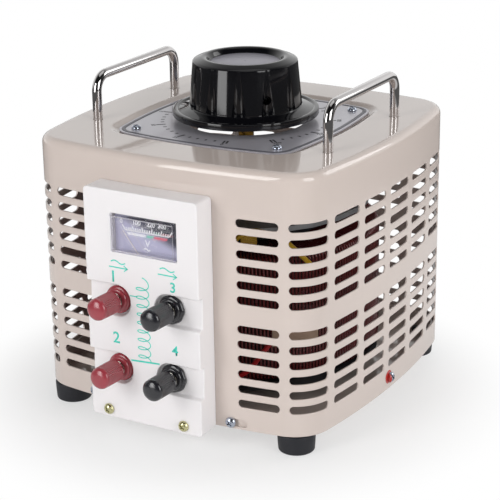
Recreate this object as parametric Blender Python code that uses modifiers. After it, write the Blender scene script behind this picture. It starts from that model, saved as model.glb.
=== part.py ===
"""Bench variable autotransformer, modelled as an assembly of separate parts.

Metres, +Z up. The object stands on Z = 0 with its terminal panel facing -Y. The knob, shaft and
brush arm turn about the upright axis of the case, which stands AXIS_Y behind the origin so that the
origin lies under the middle of the whole object. Sizes inside the sub-assemblies are measured from
that axis and from the levels below.
"""
import math

import bmesh
import bpy
from mathutils import Euler, Matrix, Vector

MM = 0.001

# Fits
TOUCH_GAP = 0.3 * MM
RUN_GAP = 0.3 * MM
HOLE_SIDES = 12

# Drawn steel cover and base tray
CASE_WIDTH = 206.0 * MM
CASE_HEIGHT = 160.8 * MM
CASE_BOW_RADIUS = 515.0 * MM
CASE_CORNER_RADIUS = 24.0 * MM
CASE_EDGE_RADIUS = 5.0 * MM
CASE_SHEET = 1.2 * MM
CASE_MAX_TURN = math.radians(21.0)
TRAY_SHEET = 1.5 * MM
TRAY_FLANGE = 12.5 * MM

# Rubber feet
FOOT_HEIGHT = 12.0 * MM
FOOT_TOP_RADIUS = 11.6 * MM
FOOT_BOTTOM_RADIUS = 10.7 * MM
FOOT_SIDE_INSET = 22.4 * MM
FOOT_FRONT_INSET = 18.4 * MM
FOOT_STUD_RADIUS = 2.5 * MM
FOOT_STUD_LENGTH = 6.0 * MM

# Cooling slots, in two groups of rows around the cover
SLOT_COLUMNS = 20
SLOT_ROWS = 12
SLOT_LENGTH = 26.0 * MM
SLOT_HEIGHT = 4.7 * MM
SLOT_GROUP_GAP = 8.8 * MM
SLOT_FRONT_OFFSET = 63.4 * MM
SLOT_TOP_MARGIN = 31.7 * MM
SLOT_BOTTOM_MARGIN = 17.0 * MM
WINDOW_HALF_WIDTH = 32.0 * MM

# Carrying handles
HANDLE_ROD_RADIUS = 3.0 * MM
HANDLE_INSET = 22.2 * MM
HANDLE_SPAN = 90.0 * MM
HANDLE_RISE = 27.4 * MM
HANDLE_BEND_RADIUS = 10.0 * MM
HANDLE_BEND_POINTS = 5
HANDLE_TAIL = 8.0 * MM

# Dial plate in its sunk seat
DIAL_HANDLE_GAP = 7.1 * MM
DIAL_BOW_RADIUS = 321.0 * MM
DIAL_CORNER_RADIUS = 14.0 * MM
DIAL_THICKNESS = 1.0 * MM
DIAL_SUNK = 1.0 * MM
DIAL_HOLE_RADIUS = 37.3 * MM
DIAL_SCREW_INSET = 15.0 * MM
SEAT_SLOPE = 6.0 * MM
SEAT_HOLE_MARGIN = 2.0 * MM

# Knob
KNOB_LIFT = 5.3 * MM
KNOB_HEIGHT = 35.3 * MM
KNOB_RIM_RADIUS = 45.7 * MM
KNOB_RIM_THICKNESS = 3.4 * MM
KNOB_RIM_WIDTH = 3.2 * MM
KNOB_SKIRT_RISE = 6.3 * MM
KNOB_BODY_RADIUS = 35.0 * MM
KNOB_TAPER = 2.4 * MM
KNOB_CHAMFER_WIDTH = 6.4 * MM
KNOB_CHAMFER_DROP = 2.4 * MM
KNOB_DISC_MARGIN = 3.9 * MM
KNOB_DISC_DEPTH = 2.5 * MM
KNOB_STEPS = 36
KNOB_FLUTES = 12
KNOB_FLUTE_RADIUS = 5.2 * MM
KNOB_FLUTE_DEPTH = 3.0 * MM
KNOB_BORE_DEPTH = 18.0 * MM
SET_SCREW_ANGLE = math.radians(-37.0)
SET_SCREW_HEIGHT = 14.0 * MM
SET_SCREW_RADIUS = 2.5 * MM
SET_SCREW_LENGTH = 14.0 * MM

# Shaft, bearings and pedestal
SHAFT_RADIUS = 3.5 * MM
COLLAR_RADIUS = 4.9 * MM
BEARING_WALL = 2.8 * MM
BEARING_LENGTH = 12.0 * MM
PEDESTAL_HEIGHT = 10.0 * MM
PEDESTAL_TABLE = 4.0 * MM
PEDESTAL_TABLE_RADIUS = 58.0 * MM
PEDESTAL_DRUM_RADIUS = 34.0 * MM
PEDESTAL_WALL = 4.5 * MM
PEDESTAL_STEPS = 20

# Wound toroid
WINDING_MARGIN = 19.0 * MM
WINDING_LOOPS = 24
WINDING_LOOP_POINTS = 8
WINDING_OPEN_ANGLE = math.radians(18.0)
WINDING_START_ANGLE = math.radians(-52.0)
WINDING_TAP_HEIGHT = 25.0 * MM
WIRE_RADIUS = 2.2 * MM
WINDING_GAP = 0.7 * MM
CORE_WIDTH = 36.9 * MM
CORE_STEPS = 24
LOWER_RING_THICKNESS = 5.0 * MM
LOWER_RING_WIDTH = 50.0 * MM
UPPER_RING_THICKNESS = 3.0 * MM
CLAMP_THICKNESS = 2.5 * MM
CLAMP_OVERLAP = 9.0 * MM

# Brush arm
ARM_HEADROOM = 44.0 * MM
ARM_THICKNESS = 3.0 * MM
ARM_OVERHANG = 13.2 * MM
ARM_HUB_RADIUS = 9.0 * MM
ARM_HUB_RISE = 8.0 * MM
BRUSH_ROOM = 13.2 * MM
BRUSH_TRACK_INSET = 17.0 * MM
BRUSH_RING_GAP = 6.6 * MM
BRUSH_START_STEP = math.radians(7.4)
BRUSH_LENGTH = 8.0 * MM
BRUSH_WIDTH = 5.0 * MM
BRUSH_HEIGHT = 7.0 * MM
HOLDER_WALL = 2.0 * MM
HOLDER_LIFT = 3.0 * MM
SPRING_CURLS = 3
SPRING_CURL_POINTS = 8
SPRING_RADIUS = 1.7 * MM
SPRING_WIRE_RADIUS = 0.4 * MM

# Terminal panel
PANEL_WIDTH = 78.0 * MM
PANEL_DEPTH = 15.0 * MM
PANEL_OFFSET = -3.6 * MM
PANEL_TOP_MARGIN = 17.6 * MM
PANEL_BELOW = 1.8 * MM
PANEL_WALL = 2.4 * MM
PANEL_BEVEL = 1.2 * MM
PANEL_SCREW_SPACING = 53.0 * MM
PANEL_SCREW_HEIGHT = 5.2 * MM
LEDGE_DEPTH = 4.2 * MM
LEDGE_MARGIN = 1.2 * MM
LEDGE_RAMP = 0.8 * MM
UPPER_LEDGE_DROP = 58.5 * MM
LOWER_LEDGE_RISE = 43.1 * MM

# Binding posts on the ledges
POST_TILT = math.radians(2.5)
POST_SPACING = 36.8 * MM
POST_FLANGE_RADIUS = 8.7 * MM
POST_FLANGE_THICKNESS = 2.3 * MM
POST_RING_RADIUS = 7.2 * MM
POST_RING_THICKNESS = 1.8 * MM
POST_NECK_RADIUS = 4.0 * MM
POST_NECK_TAIL = 1.5 * MM
POST_STEM_RADIUS = 2.5 * MM
POST_STEM_TAIL = 8.0 * MM
POST_STEPS = 12
CAP_RADIUS = 6.7 * MM
CAP_LENGTH = 18.6 * MM
CAP_LIFT = 3.4 * MM
CAP_DOME = 3.4 * MM
CAP_WALL = 1.4 * MM
INSERT_WALL = 1.1 * MM
INSERT_LENGTH = 11.0 * MM

# Voltmeter
METER_OFFSET = 2.4 * MM
METER_WIDTH = 44.6 * MM
METER_HEIGHT = 23.4 * MM
METER_DROP = 25.8 * MM
METER_PROUD = 1.5 * MM
METER_GLASS = 1.4 * MM
METER_CASE_MARGIN = 1.6 * MM
METER_CASE_DEPTH = 8.0 * MM
METER_CASE_WALL = 1.2 * MM
METER_CASE_BELOW = 12.6 * MM
METER_FACE_SETBACK = 2.0 * MM
METER_FACE_THICKNESS = 0.6 * MM
NEEDLE_PIVOT_BELOW = 9.4 * MM
NEEDLE_LENGTH = 27.4 * MM
NEEDLE_WIDTH = 1.0 * MM
NEEDLE_THICKNESS = 0.4 * MM
NEEDLE_REST = math.radians(-37.8)
PIVOT_RADIUS = 1.6 * MM

# Fasteners
SCREW_HEAD_RADIUS = 3.0 * MM
SCREW_HEAD_HEIGHT = 2.0 * MM
SCREW_SHANK_RADIUS = 1.5 * MM
SCREW_STEPS = 10
DIAL_SCREW_LENGTH = 6.0 * MM
CASE_SCREW_LENGTH = 6.0 * MM
CASE_SCREW_HEIGHT = 3.9 * MM
CASE_SCREW_SPACING = 98.0 * MM
SIDE_SCREW_HEIGHT = 7.0 * MM
SIDE_SCREW_AHEAD = 3.2 * MM

# Internal leads
LEAD_RADIUS = 1.5 * MM
LEAD_STEPS = 4
LEAD_STANDOFF = 8.0 * MM
LEAD_SLACK = 14.0 * MM

# Levels above the floor
CASE_BOTTOM = FOOT_HEIGHT + TOUCH_GAP
CASE_TOP = CASE_BOTTOM + CASE_HEIGHT
TRAY_TOP = CASE_BOTTOM + TRAY_SHEET
TABLE_TOP = TRAY_TOP + TOUCH_GAP + PEDESTAL_HEIGHT
LOWER_RING_TOP = TABLE_TOP + TOUCH_GAP + LOWER_RING_THICKNESS
CORE_BOTTOM = LOWER_RING_TOP + TOUCH_GAP + 2.0 * WIRE_RADIUS + WINDING_GAP
ARM_TOP = CASE_TOP - DIAL_SUNK - DIAL_THICKNESS - CASE_SHEET - ARM_HEADROOM
ARM_BOTTOM = ARM_TOP - ARM_THICKNESS
WINDING_TOP = ARM_BOTTOM - BRUSH_ROOM
CORE_TOP = WINDING_TOP - 2.0 * WIRE_RADIUS - WINDING_GAP
UPPER_RING_TOP = WINDING_TOP + TOUCH_GAP + UPPER_RING_THICKNESS
CLAMP_TOP = UPPER_RING_TOP + TOUCH_GAP + CLAMP_THICKNESS
COLUMN_TOP = CLAMP_TOP
DIAL_TOP = CASE_TOP - DIAL_SUNK
SEAT_TOP = DIAL_TOP - DIAL_THICKNESS - TOUCH_GAP
KNOB_BOTTOM = DIAL_TOP + KNOB_LIFT
KNOB_TOP = KNOB_BOTTOM + KNOB_HEIGHT
PANEL_BOTTOM = CASE_BOTTOM - PANEL_BELOW
PANEL_TOP = CASE_TOP - PANEL_TOP_MARGIN

# Reaches from the axis
CASE_HALF = CASE_WIDTH / 2.0
HANDLE_REACH = CASE_HALF - HANDLE_INSET
SEAT_HALF = HANDLE_REACH - HANDLE_ROD_RADIUS - DIAL_HANDLE_GAP - SEAT_SLOPE
DIAL_HALF = SEAT_HALF - TOUCH_GAP
DIAL_SCREW_REACH = DIAL_HALF - DIAL_SCREW_INSET
WINDING_OUTER = CASE_HALF - WINDING_MARGIN - WIRE_RADIUS
CORE_OUTER = WINDING_OUTER - WIRE_RADIUS - WINDING_GAP
CORE_BORE_RADIUS = CORE_OUTER - CORE_WIDTH
WINDING_INNER = CORE_BORE_RADIUS - WINDING_GAP - WIRE_RADIUS
SHAFT_BORE = SHAFT_RADIUS + RUN_GAP
BEARING_OUTER = SHAFT_BORE + BEARING_WALL
COLUMN_RADIUS = BEARING_OUTER + TOUCH_GAP + PEDESTAL_WALL
BRUSH_REACH = WINDING_OUTER - BRUSH_TRACK_INSET
BRUSH_ANGLE = WINDING_START_ANGLE - BRUSH_START_STEP
ARM_RADIUS = BRUSH_REACH + ARM_OVERHANG
UPPER_RING_OUTER = BRUSH_REACH - BRUSH_LENGTH / 2.0 - RUN_GAP - HOLDER_WALL - BRUSH_RING_GAP
PANEL_FRONT = CASE_HALF + PANEL_DEPTH
POST_DROP = POST_FLANGE_RADIUS + LEDGE_MARGIN
LEDGE_RUN = POST_DROP + POST_FLANGE_RADIUS + TOUCH_GAP
LEDGE_LIP = LEDGE_DEPTH - LEDGE_RUN * math.tan(POST_TILT)
UPPER_LEDGE_TOP = PANEL_TOP - UPPER_LEDGE_DROP
LOWER_LEDGE_TOP = PANEL_BOTTOM + LOWER_LEDGE_RISE
CAP_START = TOUCH_GAP + POST_FLANGE_THICKNESS + POST_RING_THICKNESS + CAP_LIFT
CAP_BORE = POST_STEM_RADIUS + RUN_GAP + INSERT_WALL + RUN_GAP
POST_FACE = PANEL_FRONT - LEDGE_DEPTH + POST_DROP * math.tan(POST_TILT)
POST_REACH = POST_FACE + (CAP_START + CAP_LENGTH) * math.cos(POST_TILT)
AXIS_Y = (POST_REACH - CASE_HALF) / 2.0
METER_TOP = PANEL_TOP - METER_DROP + METER_HEIGHT / 2.0
METER_BOTTOM = METER_TOP - METER_HEIGHT
METER_X = PANEL_OFFSET + METER_OFFSET
PANEL_INNER = PANEL_FRONT - PANEL_WALL
METER_CASE_FRONT = PANEL_INNER - TOUCH_GAP
METER_FACE_FRONT = METER_CASE_FRONT - METER_FACE_SETBACK
NEEDLE_BACK = METER_FACE_FRONT + TOUCH_GAP


class Outline:
    """A square plan with bowed sides and round corners, run from its front middle to the right."""

    def __init__(self, half, bow, corner):
        self.half = half
        self.bow = bow
        self.corner = corner
        sink = bow - half
        self.centre = (math.sqrt(2.0 * (bow - corner) ** 2 - sink ** 2) - sink) / 2.0
        self.turn = math.atan2(self.centre, self.centre + sink)
        self.side = bow * self.turn
        self.arc = corner * (math.pi / 2.0 - 2.0 * self.turn)
        self.quarter = 2.0 * self.side + self.arc
        self.length = 4.0 * self.quarter

    def heading(self, run):
        """Angle from the front's outward direction to the outward direction at this run."""
        turns, rest = divmod(run, self.quarter)
        if rest < self.side:
            angle = rest / self.bow
        elif rest < self.side + self.arc:
            angle = self.turn + (rest - self.side) / self.corner
        else:
            angle = math.pi / 2.0 - (self.quarter - rest) / self.bow
        return turns * math.pi / 2.0 + angle

    def at(self, run, inset=0.0):
        """Point on the outline, moved inwards by the inset."""
        turns, rest = divmod(run, self.quarter)
        angle = self.heading(rest)
        sink = self.bow - self.half
        if rest < self.side:
            x, y = self.bow * math.sin(angle), sink - self.bow * math.cos(angle)
        elif rest < self.side + self.arc:
            x = self.centre + self.corner * math.sin(angle)
            y = -self.centre - self.corner * math.cos(angle)
        else:
            x, y = self.bow * math.sin(angle) - sink, -self.bow * math.cos(angle)
        x -= inset * math.sin(angle)
        y += inset * math.cos(angle)
        quarter_turn = turns * math.pi / 2.0
        across, along = math.cos(quarter_turn), math.sin(quarter_turn)
        return x * across - y * along, x * along + y * across


CASE_OUTLINE = Outline(CASE_HALF, CASE_BOW_RADIUS, CASE_CORNER_RADIUS)
DIAL_OUTLINE = Outline(DIAL_HALF, DIAL_BOW_RADIUS, DIAL_CORNER_RADIUS)
SEAT_OUTLINE = Outline(SEAT_HALF, DIAL_BOW_RADIUS, DIAL_CORNER_RADIUS + TOUCH_GAP)
SEAT_EDGE_OUTLINE = Outline(SEAT_HALF + SEAT_SLOPE, DIAL_BOW_RADIUS, DIAL_CORNER_RADIUS + SEAT_SLOPE)


def clear_scene():
    """Remove every object of the scene that the model starts in."""
    for obj in list(bpy.data.objects):
        bpy.data.objects.remove(obj, do_unlink=True)


def new_collection(name):
    """Add a collection to the scene."""
    collection = bpy.data.collections.new(name)
    bpy.context.scene.collection.children.link(collection)
    return collection


def finish(name, colour, roughness, metallic=0.0):
    """Principled material from an sRGB hex colour."""
    material = bpy.data.materials.new(name)
    material.use_nodes = True
    shader = material.node_tree.nodes["Principled BSDF"]
    channels = [int(colour[i:i + 2], 16) / 255.0 for i in (0, 2, 4)]
    linear = [c / 12.92 if c <= 0.04045 else ((c + 0.055) / 1.055) ** 2.4 for c in channels]
    shader.inputs["Base Color"].default_value = (*linear, 1.0)
    shader.inputs["Roughness"].default_value = roughness
    shader.inputs["Metallic"].default_value = metallic
    return material


clear_scene()
PARTS = new_collection("variable_autotransformer")
CUTTERS = new_collection("cutters")


def empty(name, location, rotation=(0.0, 0.0, 0.0), parent=None):
    """Empty that places the pieces parented to it."""
    obj = bpy.data.objects.new(name, None)
    obj.empty_display_size = 10.0 * MM
    obj.location = location
    obj.rotation_euler = rotation
    obj.parent = parent
    PARTS.objects.link(obj)
    return obj


AXIS = empty("case_axis", (0.0, AXIS_Y, 0.0))


def place(name, data, material, parent=AXIS, location=(0.0, 0.0, 0.0), rotation=(0.0, 0.0, 0.0)):
    """Add a piece, or a cutter where no material is given."""
    obj = bpy.data.objects.new(name, data)
    obj.location = location
    obj.rotation_euler = rotation
    obj.parent = parent
    if material is None:
        obj.hide_render = True
        obj.display_type = "WIRE"
        CUTTERS.objects.link(obj)
    else:
        data.materials.append(material)
        PARTS.objects.link(obj)
    return obj


def turned(name, profile, material, steps, ring=False, **where):
    """Spin a half-section of (radius, height) points, listed down its outer side, around local Z."""
    shape = bmesh.new()
    points = [shape.verts.new((radius, 0.0, height)) for radius, height in profile]
    for start, end in zip(points, points[1:] + points[:1] if ring else points[1:]):
        shape.edges.new((start, end))
    mesh = bpy.data.meshes.new(name)
    shape.to_mesh(mesh)
    shape.free()
    obj = place(name, mesh, material, **where)
    spin = obj.modifiers.new("spin", "SCREW")
    spin.steps = steps
    spin.render_steps = steps
    spin.use_merge_vertices = True
    spin.merge_threshold = 0.01 * MM
    return obj


def boxes(name, corners, material, **where):
    """Boxes between pairs of opposite corners, as one mesh."""
    shape = bmesh.new()
    for low, high in corners:
        low, high = Vector(low), Vector(high)
        made = bmesh.ops.create_cube(shape, size=1.0)["verts"]
        bmesh.ops.scale(shape, vec=high - low, verts=made)
        bmesh.ops.translate(shape, vec=(low + high) / 2.0, verts=made)
    mesh = bpy.data.meshes.new(name)
    shape.to_mesh(mesh)
    shape.free()
    return place(name, mesh, material, **where)


def drills(name, holes, **where):
    """Cutter of round holes, each given as its start, its end and its radius."""
    shape = bmesh.new()
    for start, end, radius in holes:
        start, end = Vector(start), Vector(end)
        made = bmesh.ops.create_cone(
            shape, cap_ends=True, segments=HOLE_SIDES, radius1=radius, radius2=radius,
            depth=(end - start).length)["verts"]
        turn = Vector((0.0, 0.0, 1.0)).rotation_difference(end - start).to_matrix()
        bmesh.ops.rotate(shape, cent=(0.0, 0.0, 0.0), matrix=turn, verts=made)
        bmesh.ops.translate(shape, vec=(start + end) / 2.0, verts=made)
    mesh = bpy.data.meshes.new(name)
    shape.to_mesh(mesh)
    shape.free()
    return place(name, mesh, None, **where)


def cut(obj, cutter):
    """Take the cutter out of a piece."""
    modifier = obj.modifiers.new("cut_" + cutter.name, "BOOLEAN")
    modifier.operation = "DIFFERENCE"
    modifier.object = cutter


def plate(name, loops, thickness, material, **where):
    """Flat piece of this thickness about local Z = 0, bounded by closed loops of (x, y) points."""
    curve = bpy.data.curves.new(name, "CURVE")
    curve.dimensions = "2D"
    curve.fill_mode = "BOTH"
    curve.extrude = thickness / 2.0
    for loop in loops:
        spline = curve.splines.new("POLY")
        spline.points.add(len(loop) - 1)
        for point, (x, y) in zip(spline.points, loop):
            point.co = (x, y, 0.0, 1.0)
        spline.use_cyclic_u = True
    return place(name, curve, material, **where)


def tube(name, path, radius, sides_level, material, **where):
    """Round bar or wire along a path of points, with filled ends."""
    curve = bpy.data.curves.new(name, "CURVE")
    curve.dimensions = "3D"
    curve.bevel_depth = radius
    curve.bevel_resolution = sides_level
    curve.use_fill_caps = True
    spline = curve.splines.new("POLY")
    spline.points.add(len(path) - 1)
    for point, place_at in zip(spline.points, path):
        point.co = (*place_at, 1.0)
    return place(name, curve, material, **where)


def prism(name, loop, thickness, material, **where):
    """Solid mesh of this thickness about local Z = 0 over one closed loop of (x, y) points."""
    shape = bmesh.new()
    rim = [shape.verts.new((x, y, -thickness / 2.0)) for x, y in loop]
    lifted = bmesh.ops.extrude_face_region(shape, geom=[shape.faces.new(rim)])["geom"]
    top = [item for item in lifted if isinstance(item, bmesh.types.BMVert)]
    bmesh.ops.translate(shape, vec=(0.0, 0.0, thickness), verts=top)
    bmesh.ops.recalc_face_normals(shape, faces=shape.faces[:])
    mesh = bpy.data.meshes.new(name)
    shape.to_mesh(mesh)
    shape.free()
    return place(name, mesh, material, **where)


def circle(radius, sides):
    """Points of a regular polygon on a circle."""
    angles = [2.0 * math.pi * i / sides for i in range(sides)]
    return [(radius * math.cos(a), radius * math.sin(a)) for a in angles]


def smooth_path(knots, steps):
    """Points on a smooth curve through the knots (centripetal Catmull-Rom)."""
    knots = [Vector(knot) for knot in knots]
    ends = [2.0 * knots[0] - knots[1]] + knots + [2.0 * knots[-1] - knots[-2]]
    path = []
    for four in zip(ends, ends[1:], ends[2:], ends[3:]):
        times = [0.0]
        for start, end in zip(four, four[1:]):
            times.append(times[-1] + math.sqrt((end - start).length))
        for i in range(steps):
            now = times[1] + (times[2] - times[1]) * i / steps
            level = list(four)
            for span in (1, 2):
                level = [a.lerp(b, (now - times[k]) / (times[k + span] - times[k]))
                         for k, (a, b) in enumerate(zip(level, level[1:]))]
            path.append(level[0].lerp(level[1], (now - times[1]) / (times[2] - times[1])))
    return path + [knots[-1]]


def polar(radius, angle, height):
    """Point at an angle around the axis."""
    return radius * math.cos(angle), radius * math.sin(angle), height


def divided(outline, stops):
    """Add runs between the stops so that no step turns past the limit."""
    runs = []
    for start, end in zip(stops, stops[1:]):
        bend = outline.heading(end - 1e-9) - outline.heading(start)
        parts = max(1, math.ceil(bend / CASE_MAX_TURN))
        runs += [start + (end - start) * i / parts for i in range(parts)]
    return runs


def slot_columns():
    """Start and end of each column of slots on the right half, as runs from the front middle."""
    half_columns = SLOT_COLUMNS // 2
    pitch = (CASE_OUTLINE.length / 2.0 - SLOT_FRONT_OFFSET) / (half_columns - 0.5)
    middles = [SLOT_FRONT_OFFSET + pitch * i for i in range(half_columns)]
    return [(middle - SLOT_LENGTH / 2.0, middle + SLOT_LENGTH / 2.0) for middle in middles]


def slot_rows():
    """Bottom and top level of each row of slots, from the lowest up."""
    room = CASE_HEIGHT - SLOT_TOP_MARGIN - SLOT_BOTTOM_MARGIN - SLOT_GROUP_GAP
    pitch = room / (SLOT_ROWS - 1)
    rows = []
    for i in range(SLOT_ROWS):
        lift = SLOT_GROUP_GAP if i >= SLOT_ROWS // 2 else 0.0
        middle = CASE_BOTTOM + SLOT_BOTTOM_MARGIN + pitch * i + lift
        rows.append((middle - SLOT_HEIGHT / 2.0, middle + SLOT_HEIGHT / 2.0))
    return rows


def case_runs():
    """Runs around the case at which its walls have an upright edge."""
    columns = slot_columns()
    right = [0.0, WINDOW_HALF_WIDTH] + [run for column in columns for run in column]
    right.append(CASE_OUTLINE.length / 2.0)
    right = divided(CASE_OUTLINE, right)
    left = [CASE_OUTLINE.length - run for run in reversed(right[1:])]
    return right + [CASE_OUTLINE.length / 2.0] + left


CASE_RUNS = case_runs()


def case_loop(inset):
    """Closed loop of points around the case, moved inwards by the inset."""
    return [CASE_OUTLINE.at(run, inset) for run in CASE_RUNS]


def make_finishes():
    """One finish for each material of the real object."""
    return {
        "enamel": finish("beige_enamel", "DCD0C8", 0.18),
        "rubber": finish("black_rubber", "1E2024", 0.75),
        "chrome": finish("chromed_steel", "D8D8DA", 0.06, 1.0),
        "zinc": finish("zinc_plated_steel", "BFC4CC", 0.3, 1.0),
        "yellow_zinc": finish("yellow_zinc_plated_steel", "C9BE8C", 0.3, 1.0),
        "dial": finish("printed_aluminium", "A9A9AD", 0.3, 0.4),
        "bakelite": finish("black_bakelite", "131316", 0.15),
        "steel": finish("ground_steel", "A5A7AA", 0.3, 1.0),
        "brass": finish("turned_brass", "B08D3C", 0.3, 1.0),
        "bronze": finish("bearing_bronze", "8C6A3E", 0.4, 1.0),
        "aluminium": finish("cast_aluminium", "B4B5B7", 0.45, 1.0),
        "core": finish("wound_silicon_steel", "55565A", 0.5, 0.8),
        "copper": finish("enamelled_copper", "5E211B", 0.28, 0.3),
        "fibre": finish("black_fibre_board", "1C1B1C", 0.7),
        "carbon": finish("graphite", "26262A", 0.55),
        "abs": finish("white_abs", "EFEDEC", 0.3),
        "meter": finish("black_styrene", "18181C", 0.35),
        "face": finish("printed_meter_face", "3B3A48", 0.5),
        "glass": finish("clear_styrene", "E8ECF0", 0.05),
        "needle": finish("white_lacquer", "F2F2F2", 0.4),
        "red": finish("red_phenolic", "93363E", 0.3),
        "black": finish("black_phenolic", "19191D", 0.28),
        "nickel": finish("nickel_plated_brass", "C3BEB4", 0.2, 1.0),
        "red_lead": finish("red_insulation", "8E1F22", 0.4),
        "yellow_lead": finish("yellow_insulation", "C9A63A", 0.4),
    }


FINISH = make_finishes()


def make_cover(holes):
    """Drawn steel cover: slotted walls, rounded top edge and a sunk seat for the dial."""
    rows = [CASE_BOTTOM] + [level for row in slot_rows() for level in row]
    edge = CASE_EDGE_RADIUS
    slant = math.sqrt(0.5)
    drawn = edge * (1.0 - slant)
    rims = [(0.0, CASE_TOP - edge), (drawn, CASE_TOP - drawn), (edge, CASE_TOP)]
    loops = [[(*CASE_OUTLINE.at(run), level) for run in CASE_RUNS] for level in rows]
    loops += [[(*CASE_OUTLINE.at(run, inset), level) for run in CASE_RUNS] for inset, level in rims]
    for outline, level in ((SEAT_EDGE_OUTLINE, CASE_TOP), (SEAT_OUTLINE, SEAT_TOP)):
        scale = outline.length / CASE_OUTLINE.length
        loops.append([(*outline.at(run * scale), level) for run in CASE_RUNS])
    hole = DIAL_HOLE_RADIUS + SEAT_HOLE_MARGIN
    angles = [2.0 * math.pi * run / CASE_OUTLINE.length - math.pi / 2.0 for run in CASE_RUNS]
    loops.append([polar(hole, angle, SEAT_TOP) for angle in angles])

    columns = slot_columns()
    columns += [(CASE_OUTLINE.length - end, CASE_OUTLINE.length - start) for start, end in columns]

    def is_open(run, row):
        """True where the wall has a slot or the window behind the panel."""
        in_rows = 1 <= row < len(rows)
        in_slot = any(start < run < end for start, end in columns) and row % 2 == 1
        from_front = min(run, CASE_OUTLINE.length - run)
        return in_rows and (in_slot or (from_front < WINDOW_HALF_WIDTH and row < len(rows) - 1))

    around, up = len(CASE_RUNS), len(loops) - 1
    shape = bmesh.new()
    bmesh.ops.create_grid(shape, x_segments=around, y_segments=up, size=1.0)
    steps = {}
    for vert in shape.verts:
        steps[vert] = (round((vert.co.x + 1.0) / 2.0 * around), round((vert.co.y + 1.0) / 2.0 * up))
    ends = CASE_RUNS + [CASE_OUTLINE.length]
    opened = []
    for face in shape.faces:
        column = min(steps[v][0] for v in face.verts)
        row = min(steps[v][1] for v in face.verts)
        if is_open((ends[column] + ends[column + 1]) / 2.0, row):
            opened.append(face)
    for vert, (column, row) in steps.items():
        vert.co = loops[row][column % around]
    bmesh.ops.delete(shape, geom=opened, context="FACES")
    bmesh.ops.remove_doubles(shape, verts=shape.verts[:], dist=0.001 * MM)
    mesh = bpy.data.meshes.new("cover")
    shape.to_mesh(mesh)
    shape.free()
    cover = place("cover", mesh, FINISH["enamel"])
    wall = cover.modifiers.new("sheet", "SOLIDIFY")
    wall.thickness = CASE_SHEET
    wall.offset = -1.0
    wall.use_even_offset = True
    cut(cover, holes)


def make_tray(holes):
    """Base tray: a flat floor with a flange that the cover is screwed to."""
    inset = CASE_SHEET + TOUCH_GAP
    shape = bmesh.new()
    rim = [shape.verts.new((*point, CASE_BOTTOM)) for point in case_loop(inset)]
    floor = shape.faces.new(rim)
    lifted = bmesh.ops.extrude_edge_only(shape, edges=floor.edges[:])["geom"]
    flange = [item for item in lifted if isinstance(item, bmesh.types.BMVert)]
    bmesh.ops.translate(shape, vec=(0.0, 0.0, TRAY_FLANGE), verts=flange)
    bmesh.ops.recalc_face_normals(shape, faces=shape.faces[:])
    if floor.normal.z > 0.0:
        bmesh.ops.reverse_faces(shape, faces=shape.faces[:])
    mesh = bpy.data.meshes.new("base_tray")
    shape.to_mesh(mesh)
    shape.free()
    tray = place("base_tray", mesh, FINISH["enamel"])
    wall = tray.modifiers.new("sheet", "SOLIDIFY")
    wall.thickness = TRAY_SHEET
    wall.offset = -1.0
    wall.use_even_offset = True
    cut(tray, holes)


def foot_places():
    """Name and place of each foot under the tray."""
    aside, ahead = CASE_HALF - FOOT_SIDE_INSET, CASE_HALF - FOOT_FRONT_INSET
    for fore, y in (("front", -ahead), ("rear", ahead)):
        for side, x in (("left", -aside), ("right", aside)):
            yield f"foot_{fore}_{side}", x, y


def make_feet():
    """Tapered rubber feet, each with a stud through the tray."""
    profile = [
        (0.0, FOOT_HEIGHT + FOOT_STUD_LENGTH), (FOOT_STUD_RADIUS, FOOT_HEIGHT + FOOT_STUD_LENGTH),
        (FOOT_STUD_RADIUS, FOOT_HEIGHT), (FOOT_TOP_RADIUS, FOOT_HEIGHT),
        (FOOT_BOTTOM_RADIUS, 0.0), (0.0, 0.0)]
    for name, x, y in foot_places():
        turned(name, profile, FINISH["rubber"], 16, location=(x, y, 0.0))


def make_handles():
    """Bent rods, front to back, at the left and right of the top."""
    bar, bend, half = CASE_TOP + HANDLE_RISE, HANDLE_BEND_RADIUS, HANDLE_SPAN / 2.0
    turns = [math.pi / 2.0 * i / (HANDLE_BEND_POINTS - 1) for i in range(HANDLE_BEND_POINTS)]
    front = [(-half + bend - bend * math.cos(t), bar - bend + bend * math.sin(t)) for t in turns]
    side = [(-half, CASE_TOP - HANDLE_TAIL)] + front
    side += [(-y, z) for y, z in reversed(side)]
    for name, x in (("handle_left", -HANDLE_REACH), ("handle_right", HANDLE_REACH)):
        tube(name, [(x, y, z) for y, z in side], HANDLE_ROD_RADIUS, 2, FINISH["chrome"])


def make_dial():
    """Flat dial plate with a wide middle hole."""
    stops = [DIAL_OUTLINE.quarter * i / 2.0 for i in range(9)]
    edge = [DIAL_OUTLINE.at(run) for run in divided(DIAL_OUTLINE, stops)]
    loops = [edge, circle(DIAL_HOLE_RADIUS, 28)]
    radius = SCREW_SHANK_RADIUS + TOUCH_GAP
    for x, y in dial_screw_places():
        loops.append([(x + px, y + py) for px, py in circle(radius, HOLE_SIDES)])
    plate("dial_plate", loops, DIAL_THICKNESS, FINISH["dial"],
          location=(0.0, 0.0, DIAL_TOP - DIAL_THICKNESS / 2.0))


def dial_screw_places():
    """Corner places of the dial's screws."""
    return [(sx * DIAL_SCREW_REACH, sy * DIAL_SCREW_REACH) for sy in (-1, 1) for sx in (-1, 1)]


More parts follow.
